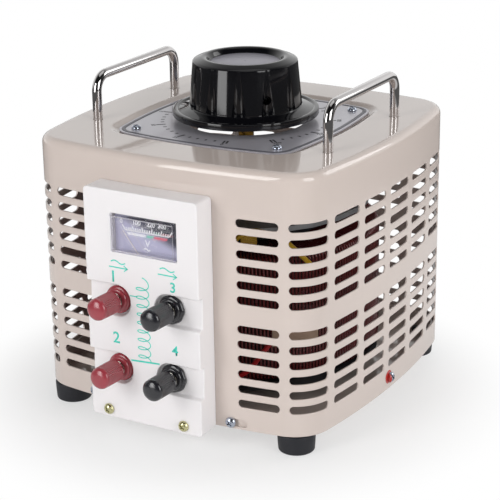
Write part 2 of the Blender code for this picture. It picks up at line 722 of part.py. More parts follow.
def screw(name, length, material, location, rotation=(0.0, 0.0, 0.0)):
    """Pan-head screw whose head sits on local Z = 0 and whose shank runs down."""
    head, shank = SCREW_HEAD_RADIUS, SCREW_SHANK_RADIUS
    seat = TOUCH_GAP
    profile = [
        (0.0, seat + SCREW_HEAD_HEIGHT), (head * 0.7, seat + SCREW_HEAD_HEIGHT),
        (head, seat + SCREW_HEAD_HEIGHT * 0.45), (head, seat), (shank, seat),
        (shank, -length), (0.0, -length)]
    return turned(name, profile, material, SCREW_STEPS, location=location, rotation=rotation)


def case_screw_places():
    """Name, place on the case's face and turn of each screw that holds the cover to the tray."""
    front, aside = CASE_BOTTOM + CASE_SCREW_HEIGHT, CASE_BOTTOM + SIDE_SCREW_HEIGHT
    half = CASE_SCREW_SPACING / 2.0
    left = CASE_BOW_RADIUS * math.asin((PANEL_OFFSET - half) / CASE_BOW_RADIUS)
    right = CASE_BOW_RADIUS * math.asin((PANEL_OFFSET + half) / CASE_BOW_RADIUS)
    runs = [
        ("case_screw_front_left", CASE_OUTLINE.length + left, front),
        ("case_screw_front_right", right, front),
        ("case_screw_side_left", 3.0 * CASE_OUTLINE.quarter + SIDE_SCREW_AHEAD, aside),
        ("case_screw_side_right", CASE_OUTLINE.quarter - SIDE_SCREW_AHEAD, aside),
    ]
    for name, run, level in runs:
        yield name, (*CASE_OUTLINE.at(run), level), (math.pi / 2.0, 0.0, CASE_OUTLINE.heading(run))


def panel_screw_places():
    """Name and x of the two screws through the foot of the panel."""
    half = PANEL_SCREW_SPACING / 2.0
    return [("panel_screw_left", PANEL_OFFSET - half), ("panel_screw_right", PANEL_OFFSET + half)]


def panel_screw_length():
    """Shank that runs from the panel's front to the far side of the tray's flange."""
    return PANEL_DEPTH + CASE_SHEET + TOUCH_GAP + TRAY_SHEET + HANDLE_ROD_RADIUS


def make_screws():
    """Every screw, each as its own piece."""
    corners = ("front_left", "front_right", "rear_left", "rear_right")
    for corner, (x, y) in zip(corners, dial_screw_places()):
        screw("dial_screw_" + corner, DIAL_SCREW_LENGTH, FINISH["zinc"], (x, y, DIAL_TOP))
    for name, location, rotation in case_screw_places():
        screw(name, CASE_SCREW_LENGTH, FINISH["zinc"], location, rotation)
    for name, x in panel_screw_places():
        location = (x, -PANEL_FRONT, PANEL_BOTTOM + PANEL_SCREW_HEIGHT)
        screw(name, panel_screw_length(), FINISH["yellow_zinc"], location, (math.pi / 2.0, 0.0, 0.0))


def make_sheet_holes():
    """Cutter for the holes in the cover and the tray."""
    radius = SCREW_SHANK_RADIUS + TOUCH_GAP
    holes = []
    for x in (-HANDLE_REACH, HANDLE_REACH):
        for y in (-HANDLE_SPAN / 2.0, HANDLE_SPAN / 2.0):
            holes.append(((x, y, CASE_TOP - CASE_EDGE_RADIUS), (x, y, CASE_TOP + CASE_EDGE_RADIUS),
                          HANDLE_ROD_RADIUS + TOUCH_GAP))
    for x, y in dial_screw_places():
        holes.append(((x, y, SEAT_TOP - DIAL_SCREW_LENGTH), (x, y, CASE_TOP), radius))
    reach = CASE_SCREW_LENGTH + TOUCH_GAP
    for _, place_at, rotation in case_screw_places():
        outwards = Euler(rotation).to_matrix() @ Vector((0.0, 0.0, reach))
        holes.append((Vector(place_at) + outwards, Vector(place_at) - outwards, radius))
    level = PANEL_BOTTOM + PANEL_SCREW_HEIGHT
    for _, x in panel_screw_places():
        far = -PANEL_FRONT + panel_screw_length() + reach
        holes.append(((x, -PANEL_FRONT, level), (x, far, level), radius))
    for _, x, y in foot_places():
        holes.append(((x, y, FOOT_HEIGHT), (x, y, FOOT_HEIGHT + FOOT_STUD_LENGTH),
                      FOOT_STUD_RADIUS + TOUCH_GAP))
    return drills("sheet_holes", holes)


def make_knob():
    """Fluted knob with a wide skirt, a sunk top disc, a shaft bore and a set-screw hole."""
    rim, body, shoulder = KNOB_RIM_RADIUS, KNOB_BODY_RADIUS, KNOB_BODY_RADIUS - KNOB_TAPER
    top, disc = shoulder - KNOB_CHAMFER_WIDTH, shoulder - KNOB_CHAMFER_WIDTH - KNOB_DISC_MARGIN
    skirt = KNOB_BOTTOM + KNOB_SKIRT_RISE
    profile = [
        (0.0, KNOB_TOP - KNOB_DISC_DEPTH), (disc, KNOB_TOP - KNOB_DISC_DEPTH), (disc, KNOB_TOP),
        (top, KNOB_TOP), (shoulder, KNOB_TOP - KNOB_CHAMFER_DROP), (body, skirt),
        (rim - KNOB_RIM_WIDTH, KNOB_BOTTOM + KNOB_RIM_THICKNESS * 0.8),
        (rim, KNOB_BOTTOM + KNOB_RIM_THICKNESS), (rim, KNOB_BOTTOM), (0.0, KNOB_BOTTOM)]
    knob = turned("knob", profile, FINISH["bakelite"], KNOB_STEPS)

    flutes = bmesh.new()
    length = KNOB_TOP - skirt
    lean = math.atan2(KNOB_TAPER + KNOB_FLUTE_RADIUS, length)
    for i in range(KNOB_FLUTES):
        made = bmesh.ops.create_cone(
            flutes, cap_ends=True, segments=HOLE_SIDES, radius1=KNOB_FLUTE_RADIUS,
            radius2=KNOB_FLUTE_RADIUS * 0.3, depth=length - KNOB_CHAMFER_DROP)["verts"]
        for vert in made:
            share = 0.5 - vert.co.z / (length - KNOB_CHAMFER_DROP)
            vert.co.x += shoulder - KNOB_FLUTE_DEPTH * 0.3 + KNOB_FLUTE_RADIUS * 0.3
            vert.co.x += share * (length * math.tan(lean) - KNOB_FLUTE_DEPTH)
            vert.co.z += skirt + (length - KNOB_CHAMFER_DROP) / 2.0 + TOUCH_GAP
        turn = Matrix.Rotation(SET_SCREW_ANGLE + 2.0 * math.pi * i / KNOB_FLUTES, 3, "Z")
        bmesh.ops.rotate(flutes, cent=(0.0, 0.0, 0.0), matrix=turn, verts=made)
    mesh = bpy.data.meshes.new("knob_flutes")
    flutes.to_mesh(mesh)
    flutes.free()
    cut(knob, place("knob_flutes", mesh, None))

    level = KNOB_BOTTOM + SET_SCREW_HEIGHT
    bore_top = KNOB_BOTTOM + KNOB_BORE_DEPTH
    cut(knob, drills("knob_bore", [((0.0, 0.0, DIAL_TOP), (0.0, 0.0, bore_top), SHAFT_BORE)]))
    outside = polar(rim, SET_SCREW_ANGLE, level)
    cut(knob, drills("set_screw_hole", [((0.0, 0.0, level), outside, SET_SCREW_RADIUS + TOUCH_GAP)]))

    start = SHAFT_RADIUS + TOUCH_GAP
    holder = empty("set_screw_axis", (0.0, 0.0, level), (0.0, math.pi / 2.0, SET_SCREW_ANGLE), AXIS)
    length = [(0.0, start + SET_SCREW_LENGTH), (SET_SCREW_RADIUS, start + SET_SCREW_LENGTH),
              (SET_SCREW_RADIUS, start), (0.0, start)]
    turned("knob_set_screw", length, FINISH["steel"], SCREW_STEPS, parent=holder)


def make_shaft():
    """Upright shaft with its brass collar and the two bearings in the pedestal."""
    low, high = TRAY_TOP + TOUCH_GAP, KNOB_BOTTOM + KNOB_BORE_DEPTH - TOUCH_GAP
    rod = [(0.0, high), (SHAFT_RADIUS, high), (SHAFT_RADIUS, low), (0.0, low)]
    turned("shaft", rod, FINISH["steel"], 16)
    hub_top = ARM_TOP + ARM_HUB_RISE
    rings = [
        ("shaft_collar", COLLAR_RADIUS, hub_top + TOUCH_GAP, KNOB_BOTTOM - TOUCH_GAP, "brass"),
        ("lower_bearing", BEARING_OUTER, low, low + BEARING_LENGTH, "bronze"),
        ("upper_bearing", BEARING_OUTER, COLUMN_TOP - BEARING_LENGTH, COLUMN_TOP, "bronze"),
    ]
    for name, radius, bottom, top, material in rings:
        washer(name, SHAFT_BORE, radius, bottom, top, FINISH[material], 16)


def washer(name, inner, outer, bottom, top, material, steps):
    """Plain ring about the axis."""
    section = [(outer, top), (outer, bottom), (inner, bottom), (inner, top)]
    return turned(name, section, material, steps, ring=True)


def make_pedestal():
    """Cast pedestal that carries the toroid on a table and the bearings in its column."""
    low = TRAY_TOP + TOUCH_GAP
    bore = BEARING_OUTER + TOUCH_GAP
    foot = PEDESTAL_DRUM_RADIUS + 2.0 * PEDESTAL_WALL
    table, drum, under = PEDESTAL_TABLE_RADIUS, PEDESTAL_DRUM_RADIUS, TABLE_TOP - PEDESTAL_TABLE
    section = [
        (COLUMN_RADIUS, COLUMN_TOP), (COLUMN_RADIUS, TABLE_TOP), (table, TABLE_TOP), (table, under),
        (drum, under), (drum, low + PEDESTAL_WALL), (foot, low + PEDESTAL_WALL), (foot, low),
        (bore, low), (bore, COLUMN_TOP)]
    turned("pedestal", section, FINISH["aluminium"], PEDESTAL_STEPS, ring=True)


def make_toroid():
    """Core, its winding as one unbroken tube, the insulating rings and the clamp plate."""
    washer("core", CORE_BORE_RADIUS, CORE_OUTER, CORE_BOTTOM, CORE_TOP, FINISH["core"], CORE_STEPS)
    outer = WINDING_OUTER + WIRE_RADIUS
    washer("lower_insulating_ring", outer - LOWER_RING_WIDTH, outer,
           TABLE_TOP + TOUCH_GAP, LOWER_RING_TOP, FINISH["fibre"], CORE_STEPS)
    inner = WINDING_INNER - WIRE_RADIUS
    washer("upper_insulating_ring", inner, UPPER_RING_OUTER,
           WINDING_TOP + TOUCH_GAP, UPPER_RING_TOP, FINISH["fibre"], CORE_STEPS)
    washer("clamp_plate", COLUMN_RADIUS + TOUCH_GAP, inner + CLAMP_OVERLAP,
           UPPER_RING_TOP + TOUCH_GAP, CLAMP_TOP, FINISH["zinc"], CORE_STEPS)

    bottom, top = CORE_BOTTOM - WINDING_GAP - WIRE_RADIUS, CORE_TOP + WINDING_GAP + WIRE_RADIUS
    corner = WIRE_RADIUS
    loop = [
        (WINDING_OUTER, bottom + corner), (WINDING_OUTER, top - corner),
        (WINDING_OUTER - corner, top), (WINDING_INNER + corner, top),
        (WINDING_INNER, top - corner), (WINDING_INNER, bottom + corner),
        (WINDING_INNER + corner, bottom), (WINDING_OUTER - corner, bottom)]
    count = WINDING_LOOPS * WINDING_LOOP_POINTS
    sweep = 2.0 * math.pi - WINDING_OPEN_ANGLE
    path = []
    for i in range(1, count + 2):
        radius, level = loop[i % WINDING_LOOP_POINTS]
        path.append(Vector(polar(radius, WINDING_START_ANGLE - sweep * i / count, level)))
    reach = WINDING_OUTER + 2.0 * WIRE_RADIUS
    tap = bottom + WINDING_TAP_HEIGHT
    first = Vector(polar(reach, WINDING_START_ANGLE, tap))
    last_angle = WINDING_START_ANGLE - sweep * (count + 1) / count
    last = Vector(polar(reach, last_angle, path[-1].z))
    path = [first, Vector(polar(WINDING_OUTER, WINDING_START_ANGLE, tap))] + path + [last]
    tube("winding", path, WIRE_RADIUS, 1, FINISH["copper"])
    gap = min((a - b).length for i, a in enumerate(path) for b in path[i + WINDING_LOOP_POINTS // 2:])
    print(f"winding: least gap between loops {(gap - 2.0 * WIRE_RADIUS) / MM:.2f} mm")
    return first, last


def make_arm():
    """Brush arm: a cooling disc on the shaft, with a sprung carbon brush in its holder."""
    hub = COLUMN_TOP + 2.0 * TOUCH_GAP
    section = [
        (ARM_HUB_RADIUS, ARM_TOP + ARM_HUB_RISE), (ARM_HUB_RADIUS, ARM_TOP), (ARM_RADIUS, ARM_TOP),
        (ARM_RADIUS, ARM_BOTTOM), (ARM_HUB_RADIUS, ARM_BOTTOM), (ARM_HUB_RADIUS, hub),
        (SHAFT_BORE, hub), (SHAFT_BORE, ARM_TOP + ARM_HUB_RISE)]
    turned("brush_arm", section, FINISH["aluminium"], CORE_STEPS, ring=True)

    arm = empty("brush_arm_axis", (0.0, 0.0, 0.0), (0.0, 0.0, BRUSH_ANGLE), AXIS)
    half = Vector((BRUSH_LENGTH / 2.0, BRUSH_WIDTH / 2.0, 0.0))
    middle = Vector((BRUSH_REACH, 0.0, 0.0))
    bottom = WINDING_TOP + TOUCH_GAP
    low, high = Vector((0.0, 0.0, bottom)), Vector((0.0, 0.0, bottom + BRUSH_HEIGHT))
    boxes("carbon_brush", [(middle - half + low, middle + half + high)], FINISH["carbon"], parent=arm)

    clear = Vector((RUN_GAP, RUN_GAP, 0.0))
    wall = Vector((HOLDER_WALL, HOLDER_WALL, 0.0))
    low = Vector((0.0, 0.0, WINDING_TOP + HOLDER_LIFT))
    high = Vector((0.0, 0.0, ARM_BOTTOM - TOUCH_GAP))
    slot = half + clear
    block = (middle - slot - wall + low, middle + slot + wall + high)
    holder = boxes("brush_holder", [block], FINISH["brass"], parent=arm)
    past = Vector((0.0, 0.0, HOLDER_WALL))
    through = (middle - slot + low - past, middle + slot + high + past)
    cut(holder, boxes("brush_slot", [through], None, parent=arm))

    start = bottom + BRUSH_HEIGHT + TOUCH_GAP + SPRING_WIRE_RADIUS
    end = ARM_BOTTOM - TOUCH_GAP - SPRING_WIRE_RADIUS
    count = SPRING_CURLS * SPRING_CURL_POINTS
    coil = []
    for i in range(count + 1):
        angle = 2.0 * math.pi * i / SPRING_CURL_POINTS
        x, y, z = polar(SPRING_RADIUS, angle, start + (end - start) * i / count)
        coil.append((BRUSH_REACH + x, y, z))
    tube("brush_spring", coil, SPRING_WIRE_RADIUS, 1, FINISH["steel"], parent=arm)
    gap = (end - start) / SPRING_CURLS - 2.0 * SPRING_WIRE_RADIUS
    print(f"spring: gap between curls {gap / MM:.2f} mm")


def panel_cavity_profile(back):
    """Side view of the panel's hollow as (depth, height) points, one wall behind the front and the pockets."""
    wall, front = PANEL_WALL, PANEL_FRONT - PANEL_WALL
    points = [(back, PANEL_BOTTOM + wall), (front, PANEL_BOTTOM + wall)]
    for ledge in (LOWER_LEDGE_TOP, UPPER_LEDGE_TOP):
        low, high = ledge - LEDGE_RUN, ledge + wall
        points += [(front, low - LEDGE_RAMP - wall), (front - LEDGE_LIP, low - wall),
                   (front - LEDGE_DEPTH, high), (front, high)]
    return points + [(front, PANEL_TOP - wall), (back, PANEL_TOP - wall)]


def panel_slab(name, profile, left, right, material):
    """A side view of (depth, height) points drawn out across a width."""
    quarter = math.pi / 2.0
    return prism(name, profile, right - left, material,
                 location=((left + right) / 2.0, 0.0, 0.0), rotation=(quarter, 0.0, -quarter))


def panel_pockets(left, right):
    """Cutters of the four pockets that the posts stand in, open at the panel's sides."""
    near, past = POST_SPACING / 2.0 - POST_FLANGE_RADIUS - LEDGE_MARGIN, PANEL_FRONT + PANEL_WALL
    for ledge in (LOWER_LEDGE_TOP, UPPER_LEDGE_TOP):
        low = ledge - LEDGE_RUN
        profile = [(PANEL_FRONT - LEDGE_LIP, low), (PANEL_FRONT, low - LEDGE_RAMP), (past, low - LEDGE_RAMP),
                   (past, ledge), (PANEL_FRONT - LEDGE_DEPTH, ledge)]
        yield panel_slab("pocket", profile, left - PANEL_WALL, PANEL_OFFSET - near, None)
        yield panel_slab("pocket", profile, PANEL_OFFSET + near, right + PANEL_WALL, None)


def post_places():
    """Name, colour and place of each binding post, on the face of its ledge."""
    names = {(0, 0): "lower_left", (0, 1): "lower_right", (1, 0): "upper_left", (1, 1): "upper_right"}
    for row, ledge in enumerate((LOWER_LEDGE_TOP, UPPER_LEDGE_TOP)):
        level = ledge - POST_DROP
        for column, sign in enumerate((-1.0, 1.0)):
            x = PANEL_OFFSET + sign * POST_SPACING / 2.0
            yield names[row, column], ("red", "black")[column], (x, -POST_FACE, level)


def make_panel():
    """Moulded terminal panel: a shell with a pocket for each post, fitted to the bowed cover."""
    inside = CASE_HALF - 3.0 * PANEL_WALL
    left, right = PANEL_OFFSET - PANEL_WIDTH / 2.0, PANEL_OFFSET + PANEL_WIDTH / 2.0
    block = [(inside, PANEL_BOTTOM), (PANEL_FRONT, PANEL_BOTTOM), (PANEL_FRONT, PANEL_TOP), (inside, PANEL_TOP)]
    panel = panel_slab("front_panel", block, left, right, FINISH["abs"])
    bevel = panel.modifiers.new("edges", "BEVEL")
    bevel.width = PANEL_BEVEL
    bevel.segments = 1
    bevel.limit_method = "ANGLE"
    bevel.angle_limit = math.radians(60.0)
    middle = (0.0, 0.0, CASE_TOP / 2.0)
    cut(panel, prism("case_block", case_loop(-TOUCH_GAP), CASE_TOP, None, location=middle))
    cavity = panel_cavity_profile(inside - PANEL_WALL)
    cut(panel, panel_slab("panel_cavity", cavity, left + PANEL_WALL, right - PANEL_WALL, None))
    for pocket in panel_pockets(left, right):
        cut(panel, pocket)

    holes = []
    outwards = Vector((0.0, -math.cos(POST_TILT), math.sin(POST_TILT)))
    for _, _, place_at in post_places():
        reach = outwards * (PANEL_WALL + LEDGE_DEPTH)
        holes.append((Vector(place_at) - reach, Vector(place_at) + reach, POST_NECK_RADIUS + TOUCH_GAP))
    level = PANEL_BOTTOM + PANEL_SCREW_HEIGHT
    for _, x in panel_screw_places():
        holes.append(((x, -PANEL_FRONT - PANEL_WALL, level), (x, -CASE_HALF, level),
                      SCREW_SHANK_RADIUS + TOUCH_GAP))
    cut(panel, drills("panel_holes", holes))
    half = METER_WIDTH / 2.0 + TOUCH_GAP
    window = ((METER_X - half, -PANEL_FRONT - PANEL_WALL, METER_BOTTOM - TOUCH_GAP),
              (METER_X + half, -PANEL_INNER + PANEL_WALL, METER_TOP + TOUCH_GAP))
    cut(panel, boxes("meter_window", [window], None))


def make_posts():
    """Binding posts: insulating base, threaded stem, and a cap with a threaded insert."""
    flange = TOUCH_GAP + POST_FLANGE_THICKNESS
    ring = flange + POST_RING_THICKNESS
    tail = -PANEL_WALL - POST_NECK_TAIL
    bore = POST_STEM_RADIUS + TOUCH_GAP
    base = [
        (POST_RING_RADIUS, ring), (POST_RING_RADIUS, flange), (POST_FLANGE_RADIUS, flange),
        (POST_FLANGE_RADIUS, TOUCH_GAP), (POST_NECK_RADIUS, TOUCH_GAP), (POST_NECK_RADIUS, tail),
        (bore, tail), (bore, ring)]
    cap_end = CAP_START + CAP_LENGTH
    insert_top = CAP_START + INSERT_LENGTH
    stem_top = insert_top + INSERT_WALL
    roof = stem_top + RUN_GAP
    cap = [
        (0.0, cap_end), (CAP_RADIUS * 0.55, cap_end - CAP_DOME * 0.15),
        (CAP_RADIUS * 0.85, cap_end - CAP_DOME * 0.45), (CAP_RADIUS, cap_end - CAP_DOME),
        (CAP_RADIUS, CAP_START), (CAP_BORE, CAP_START), (CAP_BORE, roof), (0.0, roof)]
    stem_low = tail - POST_STEM_TAIL
    stem = [(0.0, stem_top), (POST_STEM_RADIUS, stem_top), (POST_STEM_RADIUS, stem_low), (0.0, stem_low)]
    thread = POST_STEM_RADIUS + RUN_GAP
    insert = [(thread + INSERT_WALL, insert_top), (thread + INSERT_WALL, CAP_START + TOUCH_GAP),
              (thread, CAP_START + TOUCH_GAP), (thread, insert_top)]
    ends = {}
    for name, colour, place_at in post_places():
        axis = empty("post_axis_" + name, place_at, (math.pi / 2.0 - POST_TILT, 0.0, 0.0), AXIS)
        turned("post_base_" + name, base, FINISH[colour], POST_STEPS, ring=True, parent=axis)
        turned("post_stem_" + name, stem, FINISH["nickel"], POST_STEPS, parent=axis)
        turned("post_insert_" + name, insert, FINISH["nickel"], POST_STEPS, ring=True, parent=axis)
        turned("post_cap_" + name, cap, FINISH[colour], POST_STEPS + 4, parent=axis)
        inwards = Vector((0.0, math.cos(POST_TILT), -math.sin(POST_TILT)))
        ends[name] = (Vector(place_at) - inwards * stem_low, inwards)
    return ends


def make_meter():
    """Voltmeter behind the panel: case, printed face, needle on its pivot, and a clear front."""
    half = METER_WIDTH / 2.0
    front, back = -PANEL_FRONT - METER_PROUD, -METER_CASE_FRONT
    pane = ((METER_X - half, front, METER_BOTTOM), (METER_X + half, back, METER_TOP))
    glass = boxes("meter_glass", [pane], FINISH["glass"])
    inside = ((METER_X - half + METER_GLASS, front + METER_GLASS, METER_BOTTOM + METER_GLASS),
              (METER_X + half - METER_GLASS, back + METER_GLASS, METER_TOP - METER_GLASS))
    cut(glass, boxes("meter_glass_hollow", [inside], None))

    wide = half + METER_CASE_MARGIN
    top, bottom = METER_TOP + METER_CASE_MARGIN, METER_BOTTOM - METER_CASE_BELOW
    start, end = back + TOUCH_GAP, back + METER_CASE_DEPTH
    tub = ((METER_X - wide, start, bottom), (METER_X + wide, end, top))
    case = boxes("meter_case", [tub], FINISH["meter"])
    wall = METER_CASE_WALL
    hollow = ((METER_X - wide + wall, start - wall, bottom + wall),
              (METER_X + wide - wall, end - wall, top - wall))
    cut(case, boxes("meter_case_hollow", [hollow], None))

    lip = wall + TOUCH_GAP
    face_back = -METER_FACE_FRONT + METER_FACE_THICKNESS
    boxes("meter_face", [((METER_X - wide + lip, -METER_FACE_FRONT, bottom + lip),
                          (METER_X + wide - lip, face_back, top - lip))], FINISH["face"])

    level = METER_BOTTOM - NEEDLE_PIVOT_BELOW
    axis = empty("needle_axis", (METER_X, -NEEDLE_BACK, level), (0.0, 0.0, 0.0), AXIS)
    tip, root = NEEDLE_WIDTH / 4.0, NEEDLE_WIDTH / 2.0
    low = PIVOT_RADIUS / 2.0
    arm = [(-root, low), (-tip, NEEDLE_LENGTH), (tip, NEEDLE_LENGTH), (root, low)]
    hub = [(x, -abs(y)) for x, y in circle(PIVOT_RADIUS, 12)[:7] if y > -TOUCH_GAP]
    plate("meter_needle", [arm + hub], NEEDLE_THICKNESS, FINISH["needle"], parent=axis,
          location=(0.0, -NEEDLE_THICKNESS / 2.0, 0.0), rotation=(math.pi / 2.0, NEEDLE_REST, 0.0))


def make_leads(winding_ends, post_ends):
    """Two insulated leads from the tails of the black posts to the ends of the winding."""
    reach = WINDING_OUTER + WIRE_RADIUS + LEAD_STANDOFF
    first, last = winding_ends
    bend = math.radians(12.0)
    tap_angle, end_angle = math.atan2(first.y, first.x), math.atan2(last.y, last.x)
    crest = [polar(reach, end_angle - bend * 3.0, WINDING_TOP),
             polar(reach, end_angle - bend * 2.0, WINDING_TOP + LEAD_SLACK * 1.4),
             polar(reach, end_angle - bend, WINDING_TOP + LEAD_SLACK)]
    runs = [
        ("red_lead", "lower_right", first, [polar(reach, tap_angle - bend, first.z - LEAD_SLACK * 1.4)]),
        ("yellow_lead", "upper_right", last, crest),
    ]
    for name, post, target, way in runs:
        tail, inwards = post_ends[post]
        outwards = Vector((target.x, target.y, 0.0)).normalized()
        start, end = tail + inwards * TOUCH_GAP, target + outwards * TOUCH_GAP
        straight = 2.0 * LEAD_RADIUS
        knots = [start + inwards * straight] + way + [end + outwards * straight]
        path = [start] + smooth_path(knots, LEAD_STEPS) + [end]
        tube(name, path, LEAD_RADIUS, 2, FINISH[name])


def main():
    """Build every sub-assembly."""
    holes = make_sheet_holes()
    make_cover(holes)
    make_tray(holes)
    make_feet()
    make_handles()
    make_dial()
    make_screws()
    make_knob()
    make_shaft()
    make_pedestal()
    winding_ends = make_toroid()
    make_arm()
    make_panel()
    post_ends = make_posts()
    make_meter()
    make_leads(winding_ends, post_ends)


main()
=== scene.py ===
"""Looks of a bench variable autotransformer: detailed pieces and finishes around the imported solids.

Metres, +Z up, terminal panel facing -Y. Every sub-assembly is a class that holds its sizes and builds,
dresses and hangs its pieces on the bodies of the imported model. Pieces are modelled about their own axis
with Blender's operators and then settled at their place.
"""
from __future__ import annotations

import logging
import math
from dataclasses import dataclass, field
from enum import Enum
from typing import Any, Callable, Iterable, Sequence

import bmesh
import bpy
from mathutils import Matrix, Vector

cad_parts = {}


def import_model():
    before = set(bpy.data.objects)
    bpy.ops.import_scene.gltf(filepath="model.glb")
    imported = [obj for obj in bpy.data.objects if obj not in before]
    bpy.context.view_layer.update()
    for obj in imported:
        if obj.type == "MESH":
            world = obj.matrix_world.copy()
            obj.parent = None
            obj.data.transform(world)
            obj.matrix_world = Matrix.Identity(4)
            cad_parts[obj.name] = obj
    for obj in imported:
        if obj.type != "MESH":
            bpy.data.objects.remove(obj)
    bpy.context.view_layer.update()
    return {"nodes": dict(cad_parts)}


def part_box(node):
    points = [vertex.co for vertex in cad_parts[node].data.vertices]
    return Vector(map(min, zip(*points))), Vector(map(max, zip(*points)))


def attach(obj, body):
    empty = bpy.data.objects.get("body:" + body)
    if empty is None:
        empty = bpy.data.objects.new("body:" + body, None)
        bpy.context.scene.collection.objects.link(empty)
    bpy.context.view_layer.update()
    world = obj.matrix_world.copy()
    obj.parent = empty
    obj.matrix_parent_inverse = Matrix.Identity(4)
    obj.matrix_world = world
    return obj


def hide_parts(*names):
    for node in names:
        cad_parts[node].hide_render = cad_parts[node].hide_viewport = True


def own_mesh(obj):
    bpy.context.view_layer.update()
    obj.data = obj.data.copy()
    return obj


LOG = logging.getLogger("autotransformer")
MM = 0.001
AXIS = Vector((0.0, 18.804 * MM, 0.0))
ORIGIN = (0.0, 0.0, 0.0)
UPWARDS = (0.0, 0.0, 1.0)
FACING_FRONT = (math.pi / 2.0, 0.0, 0.0)
TOUCH = 0.01 * MM  # places closer than this are one
NEAR = 0.05 * MM  # slack of a test for a level or an end
Point = Sequence[float]
Piece = bpy.types.Object
Tree = bpy.types.NodeTree
Socket = bpy.types.NodeSocket


class Pick(Enum):
    """What the edit mode selects."""

    VERTS = "VERT"
    EDGES = "EDGE"
    FACES = "FACE"


class Drive(Enum):
    """Recess in the head of a screw."""

    CROSS = "cross"
    COMBINED = "cross with a slot"


class Body(Enum):
    """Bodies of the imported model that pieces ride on."""

    CASE = "case"
    ROTOR = "rotor"


def linear(colour: str) -> tuple[float, float, float, float]:
    """Turn an sRGB hex colour into linear light.

    Args:
        colour: Six hex digits.

    Returns:
        Red, green, blue and a full alpha.
    """
    parts = [int(colour[i:i + 2], 16) / 255.0 for i in (0, 2, 4)]
    red, green, blue = [c / 12.92 if c <= 0.04045 else ((c + 0.055) / 1.055) ** 2.4 for c in parts]
    return red, green, blue, 1.0


def in_mm(points: Sequence[Point]) -> list[tuple[float, ...]]:
    """Turn points written in millimetres into metres."""
    return [tuple(c * MM for c in point) for point in points]


def ray(angle: float) -> Vector:
    """Unit vector in the XY plane."""
    return Vector((math.cos(angle), math.sin(angle), 0.0))


def up(height: float) -> Vector:
    """Vector straight up."""
    return Vector((0.0, 0.0, height))


def add_node(tree: Tree, kind: str, settings: dict[Any, Any],
             links: dict[Any, Socket] | None = None) -> bpy.types.Node:
    """Add a node with its settings and links.

    Args:
        tree: Tree that takes the node.
        kind: Blender's name of the node.
        settings: Socket values by socket name or number, and node properties by name.
        links: Source socket for each linked socket.

    Returns:
        The new node.
    """
    node = tree.nodes.new(kind)
    for key, value in settings.items():
        if isinstance(key, int) or key in node.inputs:
            node.inputs[key].default_value = value
        else:
            setattr(node, key, value)
    for key, source in (links or {}).items():
        tree.links.new(source, node.inputs[key])
    return node


@dataclass(frozen=True)
class Finish:
    """A real material and how its surface was made.

    The colour drifts between two tones in patches of one size, the gloss varies with it, and a finer
    texture stands in relief. Sizes are real lengths in metres.
    """

    name: str
    colour: str
    drift: str
    roughness: float
    metallic: float = 0.0
    ior: float = 1.5
    coat: float = 0.0
    coat_roughness: float = 0.03
    transmission: float = 0.0
    alpha: float = 1.0
    patch: float = 12.0 * MM
    stretch: tuple[float, float, float] = (1.0, 1.0, 1.0)
    uneven: float = 0.04
    relief: float = 0.0
    relief_size: float = 0.6 * MM

    def make(self) -> bpy.types.Material:
        """Build the node material, once.

        Returns:
            The material.
        """
        name = "look_" + self.name
        made = bpy.data.materials.get(name)
        if made:
            return made
        made = bpy.data.materials.new(name)
        made.use_nodes = True
        tree = made.node_tree
        shader = tree.nodes["Principled BSDF"]
        values = {"Metallic": self.metallic, "Coat Weight": self.coat, "Coat Roughness": self.coat_roughness,
                  "Transmission Weight": self.transmission, "Alpha": self.alpha}
        if not self.metallic:
            values["IOR"] = self.ior
        for socket, value in values.items():
            shader.inputs[socket].default_value = value
        place = add_node(tree, "ShaderNodeTexCoord", {}).outputs["Object"]
        place = add_node(tree, "ShaderNodeMapping", {"Scale": self.stretch}, {"Vector": place}).outputs[0]
        patches = self.blend(tree, place)
        mixed = add_node(tree, "ShaderNodeMixRGB",
                         {"Color1": linear(self.colour), "Color2": linear(self.drift)}, {"Fac": patches})
        tree.links.new(mixed.outputs[0], shader.inputs["Base Color"])
        low, high = max(0.0, self.roughness - self.uneven), min(1.0, self.roughness + self.uneven)
        gloss = add_node(tree, "ShaderNodeMapRange",
                         {"From Min": 0.3, "From Max": 0.7, "To Min": low, "To Max": high},
                         {"Value": patches})
        tree.links.new(gloss.outputs[0], shader.inputs["Roughness"])
        if self.relief:
            height = self.height(tree, place)
            bump = add_node(tree, "ShaderNodeBump", {"Strength": 1.0, "Distance": self.relief},
                            {"Height": height})
            tree.links.new(bump.outputs[0], shader.inputs["Normal"])
        return made

    def blend(self, tree: Tree, place: Socket) -> Socket:
        """Share of the second tone, from 0 to 1, in soft patches."""
        scale = {"Scale": 1.0 / self.patch, "Detail": 3.0}
        return add_node(tree, "ShaderNodeTexNoise", scale, {"Vector": place}).outputs[0]

    def height(self, tree: Tree, place: Socket) -> Socket:
        """Relief of the surface, from 0 to 1, as fine noise."""
        scale = {"Scale": 1.0 / self.relief_size, "Detail": 2.0}
        return add_node(tree, "ShaderNodeTexNoise", scale, {"Vector": place}).outputs[0]


@dataclass(frozen=True)
class PaintedShadeFinish(Finish):
    """A finish that fades from one tone to the other across the piece, used as painted shade."""

    slope: tuple[float, float, float] = UPWARDS
    fade: tuple[float, float] = (0.0, 1.0)

    def blend(self, tree: Tree, place: Socket) -> Socket:
        """Share of the second tone, from 0 to 1, along the slope.

        Args:
            tree: The material's tree.
            place: Coordinates on the piece.

        Returns:
            The share's socket.
        """
        start, end = self.fade
        along = add_node(tree, "ShaderNodeVectorMath", {"operation": "DOT_PRODUCT", 1: self.slope},
                         {0: place}).outputs["Value"]
        return add_node(tree, "ShaderNodeMapRange",
                        {"interpolation_type": "SMOOTHSTEP", "From Min": start, "From Max": end},
                        {"Value": along}).outputs[0]


